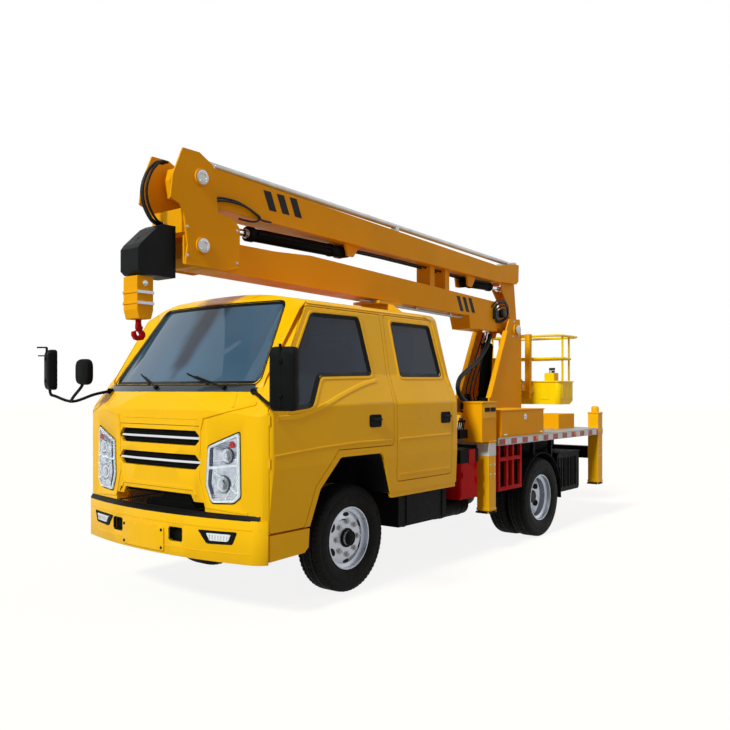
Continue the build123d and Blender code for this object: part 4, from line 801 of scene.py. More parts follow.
for side, sign in SIDES:
    name = f"headlamp_{side}"
    lamp = sided(LAMP, sign)
    gap = Form().band(rounded(lamp, 18, 40), skin_lay, 4, 3, closed=True)
    piece(f"{name}_gap", gap, SEAL)
    rim = Form().band(rounded(inset(lamp, 14), 16, 40), skin_lay, 9, 8, closed=True)
    for start, end, half_width, rise, step in LAMP_BARS:
        rim.line([start, end], skin_lay, half_width, rise, step, sign=sign)
    piece(f"{name}_rim", rim, LAMP_WHITE)
    bright, lens = Form(), Form()
    dark = Form().line(LAMP_EDGE, skin_lay, 13, 5, 30, sign=sign)
    for y, z, radius in LAMP_CUPS:
        spot = skin_lay(sign * y, z, -2)
        dark.turned([(0, radius + 7), (8, radius + 6), (9, radius - 1)], spot, AHEAD, 36)
        bright.turned([(9, radius), (12, radius), (12, radius - 5), (10, radius * 0.6),
                       (9.5, 3)], spot, AHEAD, 36)
        lens.turned([(0, radius * 0.62), (5, radius * 0.6), (9, radius * 0.42),
                     (11, radius * 0.15)], skin_lay(sign * y, z, 8), AHEAD, 28)
    for rise in (0, 10, 20, 30):
        dark.line([(560, 1090 - rise), (700, 1120 - rise)], skin_lay, 2, 4, sign=sign)
        bright.line([(540, 752 + rise), (690, 756 + rise)], skin_lay, 2.4, 5, sign=sign)
    piece(f"{name}_shades", dark, LAMP_DARK)
    piece(f"{name}_reflectors", bright, LAMP_BOWL)
    piece(f"{name}_lenses", lens, CLEAR)
    dot = Form().turned([(0, 20), (7, 19), (9, 12)], skin_lay(sign * 690, 1098, 3), AHEAD, 24)
    piece(f"{name}_marker", dot, LAMP_RED)
    cover = Form().patch(rounded(lamp, 18, 30), skin_lay,
                         [(0.985, 2), (0.97, 12), (0.9, 17), (0.6, 19), (0.25, 19)])
    piece(f"{name}_cover", cover, CLEAR)

    bezel = Form().patch(rounded(sided(FOG, sign), 14, 30), bumper_lay,
                         [(1, -2), (1, 2), (0.94, 5), (0.86, 4), (0.80, 1), (0.3, 1)])
    piece(f"fog_{side}_bezel", bezel, PLASTIC)
    light = Form().patch(rounded(sided(FOG_BAR, sign), 10, 20), bumper_lay,
                         [(1, 1), (0.97, 7), (0.85, 9), (0.3, 9)])
    piece(f"fog_{side}_lamp", light, LAMP_BOWL)
    ribs = Form()
    for number in range(7):
        y = sign * (552 + number * 22)
        ribs.wire([(y, 512), (y, 540)], bumper_lay, 9, 2.6)
    piece(f"fog_{side}_ribs", ribs, GREY)

plate = Form().patch(panel(-310, 150, 392, 548, 12, 40), bumper_lay,
                     [(1, 2), (1, 7), (0.985, 8), (0.5, 8)])
piece("number_plate_blank", plate, YELLOW)
studs = Form()
for y in (-288, 128):
    for z in (412, 528):
        studs.turned([(0, 10), (5, 9), (6.5, 5)], bumper_lay(y, z, 7), AHEAD, 18)
piece("number_plate_studs", studs, PLASTIC)
slots = Form()
for y in (255, -385):
    slots.band(panel(y - 58, y + 58, 472, 554, 10, 40), bumper_lay, 4, 3, closed=True, sink=1)
    face_x = bumper_lay(y, 455, 0)[0]
    slots.block(face_x - 58, face_x - 34, y - 78, y + 78, 452, 574)
piece("tow_slots", slots, PLASTIC)
line = Form().line([(-900, 586), (900, 586)], bumper_lay, 5, 2.5, 50, 0.5)
line.line([(-900, 440), (-420, 432), (420, 432), (900, 440)], bumper_lay, 4, 2, 50, 0.5)
piece("bumper_lines", line, YELLOW)

# Mirrors

TOE_IN = radians(20)
MIRROR_Y = 1160

# Each door mirror: its side, its middle's x, y and z, its height and the route of its arm.
MIRRORS = (
    (1, 1072, 1162, 1500, 372,
     [(925, 745, 1430), (975, 850, 1405), (1035, 985, 1362), (1066, 1082, 1345),
      (1074, 1120, 1352)]),
    (-1, 1176, 1160, 1585, 300,
     [(925, -745, 1430), (1000, -860, 1402), (1100, -985, 1350), (1166, -1110, 1389),
      (1180, -1150, 1405), (1186, -1156, 1465)]),
)


def turned_head(form, middle, size, turn, corner):
    """A rounded mirror head turned about the upright axis, made into a form."""
    depth, width, height = (extent / 2 for extent in size)
    rings = []
    for along, share in ((-depth, 0.96), (-depth * 0.7, 1.0), (depth * 0.2, 1.0),
                         (depth * 0.75, 0.93), (depth, 0.78)):
        ring = []
        for across, up in panel(-width, width, -height, height, corner):
            x = along * cos(turn) + across * share * sin(turn)
            y = along * -sin(turn) + across * share * cos(turn)
            ring.append((middle[0] + x, middle[1] + y, middle[2] + up * share))
        rings.append(ring)
    return form.skin(rings)


heads, glasses, clamps = Form(), Form(), Form()
for sign, x, y, z, height, route in MIRRORS:
    spin = -TOE_IN * sign
    turned_head(heads, (x, sign * y, z), (68, 172, height), spin, 34)
    back = (x - 32 * cos(spin), sign * y + 32 * sin(spin), z)
    turned_head(glasses, back, (6, 150, height - 26), spin, 26)
    heads.tube(route, 11, 10, 6)
    heads.rod((x + 30, sign * MIRROR_Y, z - height / 2 + 20),
              (x + 30, sign * MIRROR_Y, z + height / 2 + 16), 9, 10)
    for step in (-0.27, 0.27):
        level = z + step * height
        clamps.rod((x + 28, sign * y, level), (x + 42, sign * y, level), 18)
        clamps.bolt((x + 42, sign * y, level), AHEAD, 7, 6)
    clamps.rod((915, sign * 752, 1425), (945, sign * 775, 1428), 20)
turned_head(heads, (1150, -760, 1565), (50, 168, 186), 0, 62)
turned_head(glasses, (1126, -760, 1565), (6, 150, 168), 0, 54)
heads.tube([(1110, -1000, 1348), (1140, -900, 1392), (1150, -800, 1450), (1150, -762, 1490)], 11,
           10, 6)
heads.rod((1206, -1160, 1752), (1246, -1226, 1752), 6, 8)
heads.rod((1206, -1170, 1690), (1240, -1222, 1690), 5, 8)
heads.rod((1206, -1160, 1700), (1206, -1160, 1756), 6, 8)
piece("mirror_heads", heads, PLASTIC, bevel=3, replace=("mirrors",))
piece("mirror_glasses", glasses, MIRROR)
piece("mirror_clamps", clamps, PLASTIC, bevel=1.0)

# Cab interior

CUSHION_CELLS = 16
CHANNEL_HALF_W = 14
CHANNEL_DEPTH = 7
SEATS_Y = (-400, 400)


def cushion(size, centre, crown, channels, tilt):
    """A crowned upholstered block with sewn channels across it, tilted back about Y."""
    form = Form()
    half = [extent / 2 for extent in size]
    soft = min(half) * 0.55
    shares = [-1 + 2 * step / CUSHION_CELLS for step in range(CUSHION_CELLS + 1)]
    for axis in range(3):
        for sign in (-1, 1):
            rows = []
            for first in shares:
                row = []
                for second in shares:
                    spot = [0.0, 0.0, 0.0]
                    spot[axis] = sign
                    spot[(axis + 1) % 3] = first
                    spot[(axis + 2) % 3] = second
                    full = Vector([value * extent for value, extent in zip(spot, half)])
                    core = Vector([max(soft - extent, min(extent - soft, value))
                                   for value, extent in zip(full, half)])
                    if (full - core).length > 0.001:
                        full = core + (full - core).normalized() * soft
                    if spot[2] > 0:
                        full.z += crown * (1 - spot[0] ** 2) * (1 - spot[1] ** 2)
                    if spot[2] > 0.5:
                        for channel in channels:
                            dip = max(0.0, 1 - abs(full.x - channel) / CHANNEL_HALF_W)
                            full.z -= CHANNEL_DEPTH * dip * dip
                    row.append((centre[0] + full.x * cos(tilt) + full.z * sin(tilt),
                                centre[1] + full.y,
                                centre[2] - full.x * sin(tilt) + full.z * cos(tilt)))
                rows.append(row)
            form.skin(rows, loop=False, first=False, last=False)
    return form


def seat_part(name, size, centre, crown, channels, lean=0):
    """A padded part of a seat, leaning by some degrees."""
    form = cushion(size, centre, crown, channels, radians(lean))
    thing = piece(name, form, SEAT_CLOTH, replace=("cab_interior",))


base = Form()
for y in SEATS_Y:
    base.block(0, 236, y - 205, y + 205, FRONT_FLOOR, FRONT_FLOOR + 130)
base.block(-920, -580, -720, 720, REAR_FLOOR, REAR_FLOOR + 240)
piece("seat_bases", base, TRIM, bevel=12, replace=("cab_interior",))
for number, y in enumerate(SEATS_Y):
    seat_part(f"front_seat_{number}", (262, 452, 140), (119, y, FRONT_FLOOR + 190), 10,
              (-60, 0, 60))
    seat_part(f"front_seat_back_{number}", (650, 440, 120), (-126, y, FRONT_FLOOR + 430), 8,
              (-180, -60, 60), -98)
    seat_part(f"head_rest_{number}", (130, 250, 90), (-185, y, FRONT_FLOOR + 722), 5, (), -98)
seat_part("rear_bench", (360, 1460, 150), (-745, 0, REAR_FLOOR + 312), 8, (-80, 80))
seat_part("rear_bench_back", (430, 1460, 110), (-1000, 0, REAR_FLOOR + 580), 6,
          (-100, 0, 100), -94)

COLUMN_RUN = (-160, 0, 205)
WHEEL_RIM_R = 200
dash = Form().prism(rounded([(640, 1060), (920, 1000), (930, 1330), (860, 1410), (660, 1370)],
                            40, 60), "y", -778, 778)
for sign in SIGNS:
    dash.prism([(762, 605), (858, 605), (858, 1030), (762, 1050)], "y", sign * 562, sign * 638)
dash.prism(rounded([(690, 1372), (840, 1404), (828, 1436), (712, 1412)], 14, 60), "y", 265, 535)
dash.turned([(0, 34), (140, 32), (215, 26)], (758, 400, 1252), COLUMN_RUN, 20)
for y in (-700, -250, 90, 700):
    dash.prism(panel(y - 62, y + 62, 1290, 1345, 12, 40), "x", 641, 655)
piece("dashboard", dash, TRIM, bevel=2, replace=("cab_interior",))
middle = Vector((598, 400, 1455))
lean = Vector(COLUMN_RUN).normalized()
across = Vector((0, 1, 0))
up = lean.cross(across)
wheel = Form().tube([middle + across * y + up * z for y, z in circle((0, 0), WHEEL_RIM_R, 48)],
                    13, 12, 1, closed=True)
for angle in (0.5, 2.64, 4.71):
    spoke = across * cos(angle) + up * sin(angle)
    wheel.tube([middle + spoke * 30, middle + spoke * 110 - lean * 6, middle + spoke * 196], 9,
               8, 4)
wheel.turned([(-22, 34), (-8, 58), (10, 56), (16, 44), (18, 20)], middle, lean, 32)
piece("steering_wheel", wheel, PLASTIC, replace=("cab_interior",))

# Arch liners and sills

ARCH = [(584, 585), (500, 788), (392, 896), (270, 978), (60, 984), (-110, 982), (-172, 950),
        (-206, 875), (-270, 690)]
ARCH_MIDDLE = Vector((150, 560))
LINER_EDGE = ((-922, -14), (-922, 3), (-912, 9), (-700, 13), (-300, 13), (300, 13), (700, 13),
              (912, 9), (922, 3), (922, -14))
rows = []
for point in smooth_line(ARCH, 6):
    inward = (ARCH_MIDDLE - point).normalized()
    rows.append([(point.x + inward.x * rise, y, point.y + inward.y * rise)
                 for y, rise in LINER_EDGE])
piece("arch_liners", Form().skin(rows, loop=False, first=False, last=False), PLASTIC)
sills = Form()
for sign in SIGNS:
    outline = rounded([(-1163, 648), (-290, 648), (-274, 694), (-1163, 694)], 8, 100)
    sills.prism(outline, "y", sign * 902, sign * 927)
piece("cab_sills", sills, YELLOW, bevel=5)

# Booms

HEAD_PINS = ((850, 2870), (840, 2410))

# The stripes of each boom: the x of the first, the pitch and the outline of one.
STRIPES = {"upper_boom": (220, 140, [(0, 2920), (-78, 2920), (-140, 2780), (-62, 2780)]),
           "lower_boom": (-2490, 115, [(0, 2388), (-64, 2388), (-140, 2240), (-76, 2240)])}

for name, (first_x, pitch, mark) in STRIPES.items():
    form = Form()
    for number in range(3):
        outline = [(first_x - number * pitch + x, z) for x, z in mark]
        for sign in SIGNS:
            form.prism(outline, "y", sign * (BOOM_HALF_W - 0.5), sign * (BOOM_HALF_W + 1.2))
    piece(f"{name}_stripes", form, STRIPE, name)

pins, welds = Form(), Form()
for sign in SIGNS:
    out = (0, sign, 0)
    for x, z in HEAD_PINS:
        pins.turned([(-2, 50), (5, 50), (8, 46), (8, 26), (5, 24)], (x, sign * HEAD_PIN_Y, z),
                    out, 40)
        for bolt_x, bolt_z in circle((x, z), 37, 4, pi / 4):
            pins.bolt((bolt_x, sign * (HEAD_PIN_Y + 6), bolt_z), out, 6, 7)
    for x, z in ((970, 2330), (970, 2520), (530, 2330), (530, 2560)):
        pins.bolt((x, sign * HEAD_PLATE_Y, z), out, 8, 8)
    welds.block(968, 984, sign * 150 - 8, sign * 150 + 8, 2275, 2470)
    line = strung([(505, 2305), (640, 2268), (978, 2274)], 80)
    for (x0, z0), (x1, z1) in zip(line, line[1:]):
        welds.tube([(x0, sign * HEAD_PLATE_Y, z0), (x1, sign * HEAD_PLATE_Y, z1)], 4, 6, 1)
piece("boom_head_pins", pins, GREY, "boom_head")
piece("boom_head_welds", welds, BOOM_YELLOW, "boom_head")

hoses, fittings = Form(), Form()
for y, push in ((-46, 0), (-22, 8), (4, -4)):
    hoses.tube([(1000, y, 2968), (1058 + push, y, 2962), (1130 + push, y, 2885),
                (1172 + push, y, 2770), (1160 + push, y, 2665), (1100 + push, y, 2572),
                (1030, y, 2545)], 9, 10, 8)
    fittings.turned([(0, 13), (22, 13), (24, 11)], (1018, y, 2541), (1, 0, 0.25), 6)
piece("head_hoses", hoses, HOSE, "boom_head")
piece("head_fittings", fittings, GREY, "boom_head")

loops = Form()
loops.tube([(735, 128, 2745), (640, 133, 2778), (480, 136, 2776), (330, 134, 2735),
            (262, 131, 2700), (330, 129, 2664), (470, 128, 2662)], 7.5, 10, 8)
loops.tube([(735, 134, 2735), (600, 142, 2762), (430, 144, 2756), (300, 140, 2712),
            (250, 132, 2690), (150, 130, 2688)], 7.5, 10, 8)
piece("upper_boom_hose_loop", loops, HOSE, "upper_boom")
pipes = Form()
for y in (30, -30):
    pipes.tube([(-880, y, 2645), (-1600, y, 2640), (-2700, y, 2612), (-3300, y, 2602)], 9, 10, 4)
piece("upper_boom_pipes", pipes, HOSE, "upper_boom")

# Each ram barrel: its foot and eye, its radius, and its share of the way between them.
RAM_BARRELS = {
    "lift_barrel": ((-3240, 0, 1330), (-3335, 0, 2096), 58, 0.80),
    "upper_barrel": ((-850, 0, 2612), (560, 0, 2598), 50, 0.80),
    "jib_barrel": ((-2830, 0, 2560), (-3590, 0, 2580), 40, 0.72),
}
for name, (foot, eye, radius, share) in RAM_BARRELS.items():
    start = Vector(foot)
    run = Vector(eye) - start
    along = run.normalized()
    end = start + run * share
    form = Form()
    form.turned([(-58, radius + 1), (-56, radius + 7), (-4, radius + 7), (0, radius + 3),
                 (0, radius - 14)], end, along, 40)
    form.turned([(0, radius + 1), (3, radius + 5), (26, radius + 5), (29, radius + 1)],
                start + run * 0.12, along, 40)
    pipe_side = Vector((0, radius + 16, 0))
    first = start + run * 0.16 + pipe_side
    last = start + run * (share - 0.05) + pipe_side
    for spot in (first, last):
        form.rod(spot - Vector((0, 18, 0)), spot + Vector((0, 8, 0)), 13, 12)
    form.tube([first, first + along * 60, (first + last) / 2, last - along * 60, last], 7, 8, 4)
    piece(f"{name}_fittings", form, BLACK, name)
    gland = Form().turned([(0, radius - 12), (10, radius - 14), (12, radius - 18)], end, along,
                          32)
    piece(f"{name}_gland", gland, GREY, name)

pipe = Form()
pipe.tube([(-2700, 60, 2192), (-2500, 60, 2186), (-1700, 60, 2204), (-1000, 60, 2218)], 13, 12, 6)
for x, z in ((-2450, 2190), (-1850, 2202), (-1200, 2214)):
    pipe.block(x - 14, x + 14, 44, 76, z - 4, z + 24)
piece("lower_boom_pipe", pipe, GREY, "lower_boom")

heel = Form()
heel.tube([(-3240, 124, 2300), (-3300, 150, 2372), (-3400, 170, 2392), (-3480, 165, 2330),
           (-3470, 150, 2240), (-3390, 135, 2190), (-3290, 124, 2200)], 11, 10, 6)
heel.tube([(-3250, 124, 2270), (-3310, 168, 2340), (-3400, 188, 2356), (-3462, 182, 2300),
           (-3450, 166, 2226), (-3380, 140, 2180), (-3300, 124, 2180)], 10, 10, 6)
heel.tube([(-3200, 124, 2330), (-3290, 146, 2408), (-3420, 152, 2420), (-3530, 146, 2350),
           (-3520, 130, 2260)], 9, 10, 6)
heel.turned([(-4, 46), (6, 50), (58, 50), (64, 42), (66, 20)], (-3390, 122, 2275), (0, 1, 0), 28)
heel.block(-3300, -3235, 118, 160, 2205, 2300)
piece("heel_hoses", heel, HOSE, "lower_boom")

HOOK_X = 1230
ROPE_SKIN_R = 8.15
bands = Form()
for sign in SIGNS:
    for z in (1990, 2060):
        bands.block(HOOK_X - 64, HOOK_X + 64, sign * 76 - 3, sign * 76 + 5, z - 3, z + 17)
    bands.bolt((HOOK_X, sign * 74, 2125), (0, sign, 0), 14, 12)
piece("hook_block_bands", bands, SILVER, "hook", bevel=1.0)
rope = Form().turned([(0, ROPE_SKIN_R), (232, ROPE_SKIN_R)], (HOOK_X, 0, 2176), UP, 24)
piece("hook_rope", rope, GREY, "hook")
latch = Form().tube([(1216, 0, 1838), (1236, 0, 1828), (1262, 0, 1812)], 5, 8, 4)
latch.turned([(-16, 10), (-14, 12), (14, 12), (16, 10)], (1216, 0, 1840), (0, 1, 0), 16)
piece("hook_latch", latch, RED, "hook")

# Turret

TURRET_X = -3370
cheeks = Form()
for sign in SIGNS:
    out = (0, sign, 0)
    for x, z in ((-3660, 2150), (-3560, 2190), (-3660, 2040), (-3540, 2030)):
        cheeks.bolt((x, sign * 205, z), out, 9, 9)
    cheeks.turned([(-2, 52), (8, 52), (12, 46), (12, 12)], (-3610, sign * 231, 2105), out, 40)
    for x in (-3690, -3600, -3500, -3400, -3300, -3200, -3100, -3030):
        cheeks.bolt((x, sign * 216, 1187), UP, 9, 10)
piece("turret_bolts", cheeks, GREY, "turret")
ring_bolts = Form()
for x, y in circle((TURRET_X, 0), 327, 28):
    ring_bolts.bolt((x, y, 1120), UP, 5, 6)
piece("ring_bolts", ring_bolts, GREY)
lines = Form()
for number, y in enumerate((-40, 0, 40)):
    lines.tube([(-3060 - 12 * number, y, 1215), (-2985, y, 1300 + 14 * number),
                (-2965, y * 1.2, 1460), (-3110, y * 1.3, 1700 + 20 * number),
                (-3260, y * 1.1, 1960), (-3310, y, 2050)], 8, 10, 8)
lines.tube([(-3010, 95, 1212), (-2840, 100, 1262), (-2620, 105, 1352), (-2540, 105, 1450),
            (-2600, 100, 1560), (-2800, 90, 1660), (-3010, 80, 1760), (-3190, 70, 1900),
            (-3290, 60, 2040)], 24, 14, 10)
piece("turret_hoses", lines, HOSE, "turret")
motor = Form().turned([(0, 60), (6, 64), (120, 64), (128, 52), (150, 50), (154, 40)],
                      (-3060, 110, 1190), UP, 32)
motor.block(-3110, -3010, -150, -40, 1188, 1300)
motor.turned([(0, 32), (90, 32), (94, 26)], (-3060, -95, 1300), UP, 24)
piece("slew_drive", motor, BLACK, "turret", bevel=3)

# Basket

ribs = Form()
for sign in SIGNS:
    for x in (-4470, -4355, -4240):
        ribs.prism(panel(x - 26, x + 26, 1330, 1500, 14), "y", sign * 480, sign * 485)
for y in (-300, -100, 100, 300):
    ribs.prism(panel(y - 50, y + 50, 1420, 1505, 16), "x", -4566, -4559)
    ribs.prism(panel(y - 50, y + 50, 1320, 1500, 16), "x", -4150, -4145)
piece("basket_ribs", ribs, BASKET_YELLOW, "basket", bevel=2)
rim = Form().tube([(x, y, 1530) for x, y in panel(-4562, -4148, -482, 482, 62)], 9, 10, 1,
                  closed=True)
piece("basket_rim", rim, BASKET_YELLOW, "basket")
controls = Form()
for x, y in ((-4240, 315), (-4218, 350), (-4196, 385)):
    controls.rod((x, y, 1625), (x - 8, y, 1668), 6, 12)
    controls.turned([(0, 9), (8, 13), (20, 13), (27, 7)], (x - 8, y, 1664), (-0.18, 0, 1), 16)
controls.turned([(0, 14), (16, 14), (18, 19), (26, 19), (28, 14)], (-4172, 392, 1626), UP, 20)
piece("basket_levers", controls, PLASTIC, "basket")
plate = Form().prism(panel(-4258, -4162, 300, 400, 10), "z", 1629, 1632)
piece("basket_control_plate", plate, SILVER, "basket")
bolts = Form()
for sign in SIGNS:
    for z in (1420, 1460):
        bolts.bolt((-4118, sign * 150, z), (0, sign, 0), 9, 9)
    bolts.turned([(0, 24), (10, 24), (13, 18)], (-3950, sign * 109, 1470), (0, sign, 0), 24)
piece("basket_bolts", bolts, GREY, "basket")

# Deck and boxes

TAPE_X = (-4112, -1862)
TAPE_STEP = 110
tapes = (Form(), Form())
for sign in SIGNS:
    for number in range(21):
        x1 = TAPE_X[1] - number * TAPE_STEP
        tapes[number % 2].block(max(x1 - TAPE_STEP, TAPE_X[0]), x1, sign * 949.5, sign * 951.5,
                                946, 996)
piece("reflective_tape_red", tapes[0], TAPE_RED)
piece("reflective_tape_white", tapes[1], TAPE_WHITE)
studs = Form()
for column in range(42):
    for row in range(34):
        x = -1900 - column * 55
        y = -900 + row * 54.5 + (27 if column % 2 else 0)
        near_ring = (x - TURRET_X) ** 2 + y ** 2 < 345 ** 2
        in_box = -2765 < x < -1875 and abs(y) > 545
        in_rear = -4065 < x < -3625 and 405 < y < 715
        if near_ring or in_box or in_rear or (x < -4100 and abs(y) > 800):
            continue
        lean = 10 if (row + column) % 2 else -10
        studs.add([(x - 11, y - lean, 1009.5), (x, y - 3, 1011.8), (x + 11, y + lean, 1009.5),
                   (x, y + 3, 1011.8)], [(0, 1, 2, 3)])
piece("deck_tread_marks", studs, DECK_PLATE)

TOOL_DOOR_X = (-2738, -1902)
LOCK_X = -2350
doors, locks = Form(), Form()
for sign in SIGNS:
    y = sign * DECK_SIDE_Y
    doors.prism(panel(*TOOL_DOOR_X, 1026, 1238, 10, 200), "y", y - sign, y + sign * 4)
    doors.block(-2760, -1880, sign * 552, y + sign * 6, 1246, 1256)
    locks.prism(panel(LOCK_X - 24, LOCK_X + 24, 1160, 1212, 12), "y", y + sign * 3,
                y + sign * 8)
    locks.turned([(0, 11), (5, 11), (7, 8)], (LOCK_X, y + sign * 8, 1186), (0, sign, 0), 18)
    for hinge_x in (TOOL_DOOR_X[0] + 60, TOOL_DOOR_X[1] - 60):
        locks.rod((hinge_x - 24, y + sign * 7, 1034), (hinge_x + 24, y + sign * 7, 1034), 6)
piece("tool_box_doors", doors, BOOM_YELLOW, bevel=1.5)
piece("tool_box_locks", locks, SILVER, bevel=0.8)

cabinet = Form().prism(panel(-1800, -1572, 1192, 1316, 8, 200), "y", 950, 954)
cabinet.block(-1818, -1552, 758, 960, 1322, 1334)
piece("valve_box_door", cabinet, FRAME_YELLOW, bevel=1.5)
levers = Form()
for x in (-1500, -1470, -1440, -1410):
    levers.rod((x, 800, 1095), (x + 8, 815, 1160), 5, 10)
    levers.turned([(0, 7), (6, 10), (16, 10), (20, 5)], (x + 8, 815, 1156), (0.1, 0.2, 1), 14)
levers.block(-1520, -1395, 772, 832, 1020, 1095)
piece("outrigger_levers", levers, PLASTIC, bevel=2)
gauges = Form()
for x in (-1785, -1686):
    gauges.prism(panel(x, x + 85, 1246, 1282, 5), "y", 953, 957)
piece("valve_box_windows", gauges, PLASTIC)

# Outriggers

collars, bolts, wraps, beams = Form(), Form(), Form(), Form()
for x, top, low in ((FRONT_LEG_X, 985, 380), (REAR_LEG_X, 1175, 405)):
    beams.block(x - 61.5, x + 61.5, -828, 828, 671.5, 801.5)
    for sign in SIGNS:
        y = sign * LEG_Y
        collars.post(x, y, 66, top - 4, top + 8)
        collars.post(x, y, 64, low + 2, low + 26)
        for dx in (-50, 50):
            for dy in (-50, 50):
                bolts.bolt((x + dx, y + dy, top + 8), UP, 7, 7)
        for z in (700, 780):
            for dx in (-38, 38):
                bolts.bolt((x + dx, y + sign * 60, z), (0, sign, 0), 7, 7)
for sign in SIGNS:
    y = sign * LEG_Y
    collars.post(REAR_LEG_X, y, 65, 962, 990)
    collars.turned([(0, 42), (52, 42), (66, 34), (72, 16)], (REAR_LEG_X, y, 1182), UP, 28)
    wraps.post(FRONT_LEG_X, y, 61, 860, 970)
piece("outrigger_collars", collars, FRAME_YELLOW, bevel=3)
piece("outrigger_bolts", bolts, GREY)
piece("outrigger_label_wraps", wraps, TAPE_WHITE, bevel=1)
piece("outrigger_beam_skins", beams, BLACK)
for end, x, foot_z in (("front", FRONT_LEG_X, 360), ("rear", REAR_LEG_X, 385)):
    for side, sign in SIDES:
        pad = panel(x - 71.5, x + 71.5, sign * (LEG_Y - 71), sign * (LEG_Y + 61), 20)
        foot = Form().prism(pad, "z", foot_z - 0.5, foot_z + 15)
        piece(f"{end}_{side}_foot_pad", foot, BLACK, f"{end}_{side}_leg", bevel=2)

# Side lockers, tanks and the rear end

lockers, covers = Form(), Form()
for sign in SIGNS:
    y = sign * LOCKER_Y
    lockers.prism(panel(-1545, -1285, 540, 905, 10, 200), "y", y - sign, y + sign * 5)
    for z in (640, 760):
        lockers.rod((-1530, y + sign * 12, z), (-1530, y + sign * 12, z + 60), 6)
    lockers.prism(panel(-1320, -1296, 700, 750, 6), "y", y + sign * 4, y + sign * 14)
    lockers.block(-1500, -1404, sign * 884, sign * 916, 815, 934)
    covers.block(-1562, -1268, sign * 860, sign * 912, 822, 934)
    covers.block(-1562, -1266, sign * 640, sign * 868, 822, 934)
piece("locker_caps", covers, BLACK, bevel=2)
piece("locker_doors", lockers, RED, bevel=1.5)

straps = Form()
for sign in SIGNS:
    outline = panel(sign * 428, sign * 853, 388, 660, 40)
    for x in (-1080, -580):
        straps.tube([(x, y, z) for y, z in outline], 6, 6, 1, closed=True)
    for x in (-3740, -3655, -3565, -3475, -3385, -3315):
        straps.block(x - 9, x + 9, sign * 846, sign * 857, 415, 725)
    straps.block(-3832, -3272, sign * 480, sign * 860, 768, 782)
piece("tank_straps", straps, PLASTIC, bevel=2)

silencer = Form().turned([(0, 70), (8, 84), (440, 84), (448, 70)], (-1190, 690, 432), BACK, 36)
for x in (-1280, -1540):
    silencer.turned([(-14, 85), (-12, 88), (12, 88), (14, 85)], (x, 690, 432), BACK, 36)
    silencer.block(x - 12, x + 12, 640, 700, 500, 560)
silencer.tube([(-1636, 690, 432), (-1680, 690, 436), (-1705, 660, 440), (-1710, 560, 440),
               (-1716, 420, 440)], 28, 14, 6)
piece("silencer", silencer, BLACK)

flaps, boxes, reds, ambers = Form(), Form(), Form(), Form()
for sign in SIGNS:
    flaps.prism([(-3232, 640), (-3226, 640), (-3248, 330), (-3254, 330)], "y", sign * 560,
                sign * 905)
    boxes.block(-4262, -4240, sign * 520, sign * 765, 680, 795)
    reds.prism(panel(sign * 530, sign * 670, 692, 783, 10), "x", -4274, -4260)
    ambers.prism(panel(sign * 690, sign * 755, 692, 783, 10), "x", -4274, -4260)
    for x in (-2600, -3500):
        ambers.turned([(0, 22), (6, 20), (9, 12)], (x, sign * 951, 970), (0, sign, 0), 24)
piece("mud_flaps", flaps, PLASTIC, bevel=1.5)
piece("tail_lamp_boxes", boxes, PLASTIC, bevel=3)
piece("tail_lamps_red", reds, LAMP_RED, bevel=2)
piece("amber_lamps", ambers, LAMP_AMBER)

# Stage, light and camera

FLOOR_HALF = 80
FLOOR_MATT = (0.42, 0.368, 0.335, 1.0)
FLOOR_GLOW = 1.40
FLOOR_GLOW_SHARE = 0.62
WORLD_TINT = (1.0, 0.90, 0.82, 1.0)
WORLD_LIGHT = 0.24


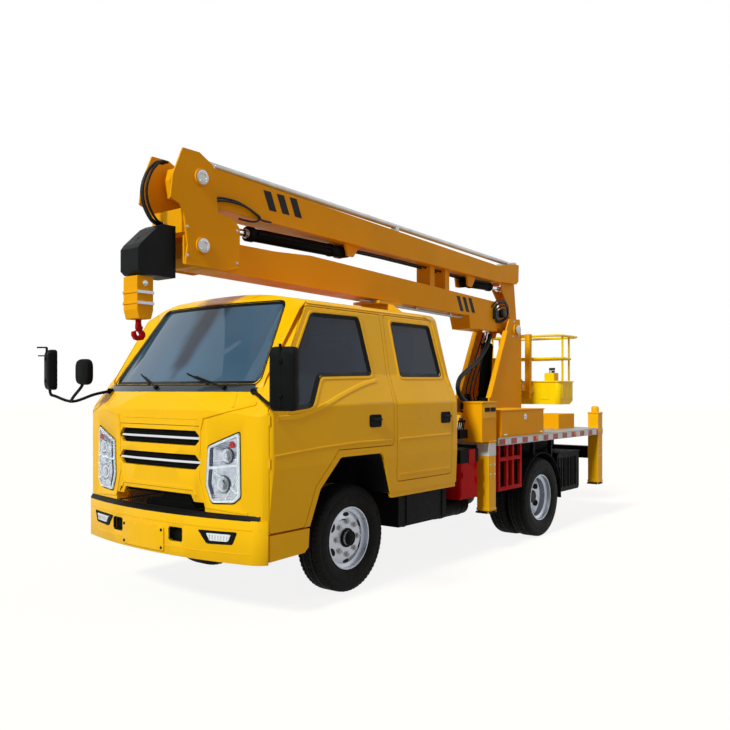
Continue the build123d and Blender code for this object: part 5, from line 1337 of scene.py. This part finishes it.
def background_choice(tree, lighting, shown):
    """One shader for lighting, and one for camera, glossy and transmission rays."""
    paths = tree.nodes.new("ShaderNodeLightPath").outputs
    seen = maths(tree, "MAXIMUM", paths["Is Camera Ray"], paths["Is Transmission Ray"])
    seen = maths(tree, "MAXIMUM", seen, paths["Is Glossy Ray"])
    return wired(tree, "ShaderNodeMixShader", {0: seen, 1: lighting, 2: shown}).outputs[0]


floor_mesh = bpy.data.meshes.new("floor")
floor_mesh.from_pydata([(x * FLOOR_HALF, y * FLOOR_HALF, -0.001)
                        for x, y in ((-1, -1), (1, -1), (1, 1), (-1, 1))], [], [(0, 1, 2, 3)])
floor = in_scene("floor", floor_mesh)
floor_skin = bpy.data.materials.new("floor_white")
tree = empty_tree(floor_skin)
matt = wired(tree, "ShaderNodeBsdfDiffuse", {"Color": FLOOR_MATT}).outputs[0]
glow = wired(tree, "ShaderNodeEmission", {"Color": WHITE, "Strength": FLOOR_GLOW}).outputs[0]
bright = wired(tree, "ShaderNodeMixShader", {0: FLOOR_GLOW_SHARE, 1: matt, 2: glow}).outputs[0]
wired(tree, "ShaderNodeOutputMaterial", {"Surface": background_choice(tree, matt, bright)})
floor_mesh.materials.append(floor_skin)

world = bpy.data.worlds.new("studio")
bpy.context.scene.world = world
tree = empty_tree(world)
light = wired(tree, "ShaderNodeBackground", {"Color": WORLD_TINT, "Strength": WORLD_LIGHT})
shown = wired(tree, "ShaderNodeBackground", {"Color": WHITE, "Strength": 1.0})
wired(tree, "ShaderNodeOutputWorld",
      {"Surface": background_choice(tree, light.outputs[0], shown.outputs[0])})

for name, spot, strength, spread, tint in (
        ("sun", (6.0, 0.4, 5.0), 2.8, 10, (1.0, 1.2, 1.0)),
        ("fill", (-5.0, 3.0, 4.0), 0.5, 60, (1.0, 0.97, 0.94))):
    lamp = bpy.data.lights.new(name, "SUN")
    lamp.energy = strength
    lamp.angle = radians(spread)
    lamp.color = tint
    in_scene(name, lamp).rotation_euler = Vector(spot).to_track_quat("Z", "Y").to_euler()

view = bpy.data.cameras.new("photo_camera")
view.lens = CAMERA_LENS
view.sensor_width = 36
view.shift_y = CAMERA_SHIFT_Y
view.clip_end = 200
camera = in_scene("photo_camera", view)
camera.location = CAMERA_AT
camera.rotation_euler = CAMERA_TURN
bpy.context.scene.camera = camera
bpy.context.scene.view_settings.view_transform = "Standard"
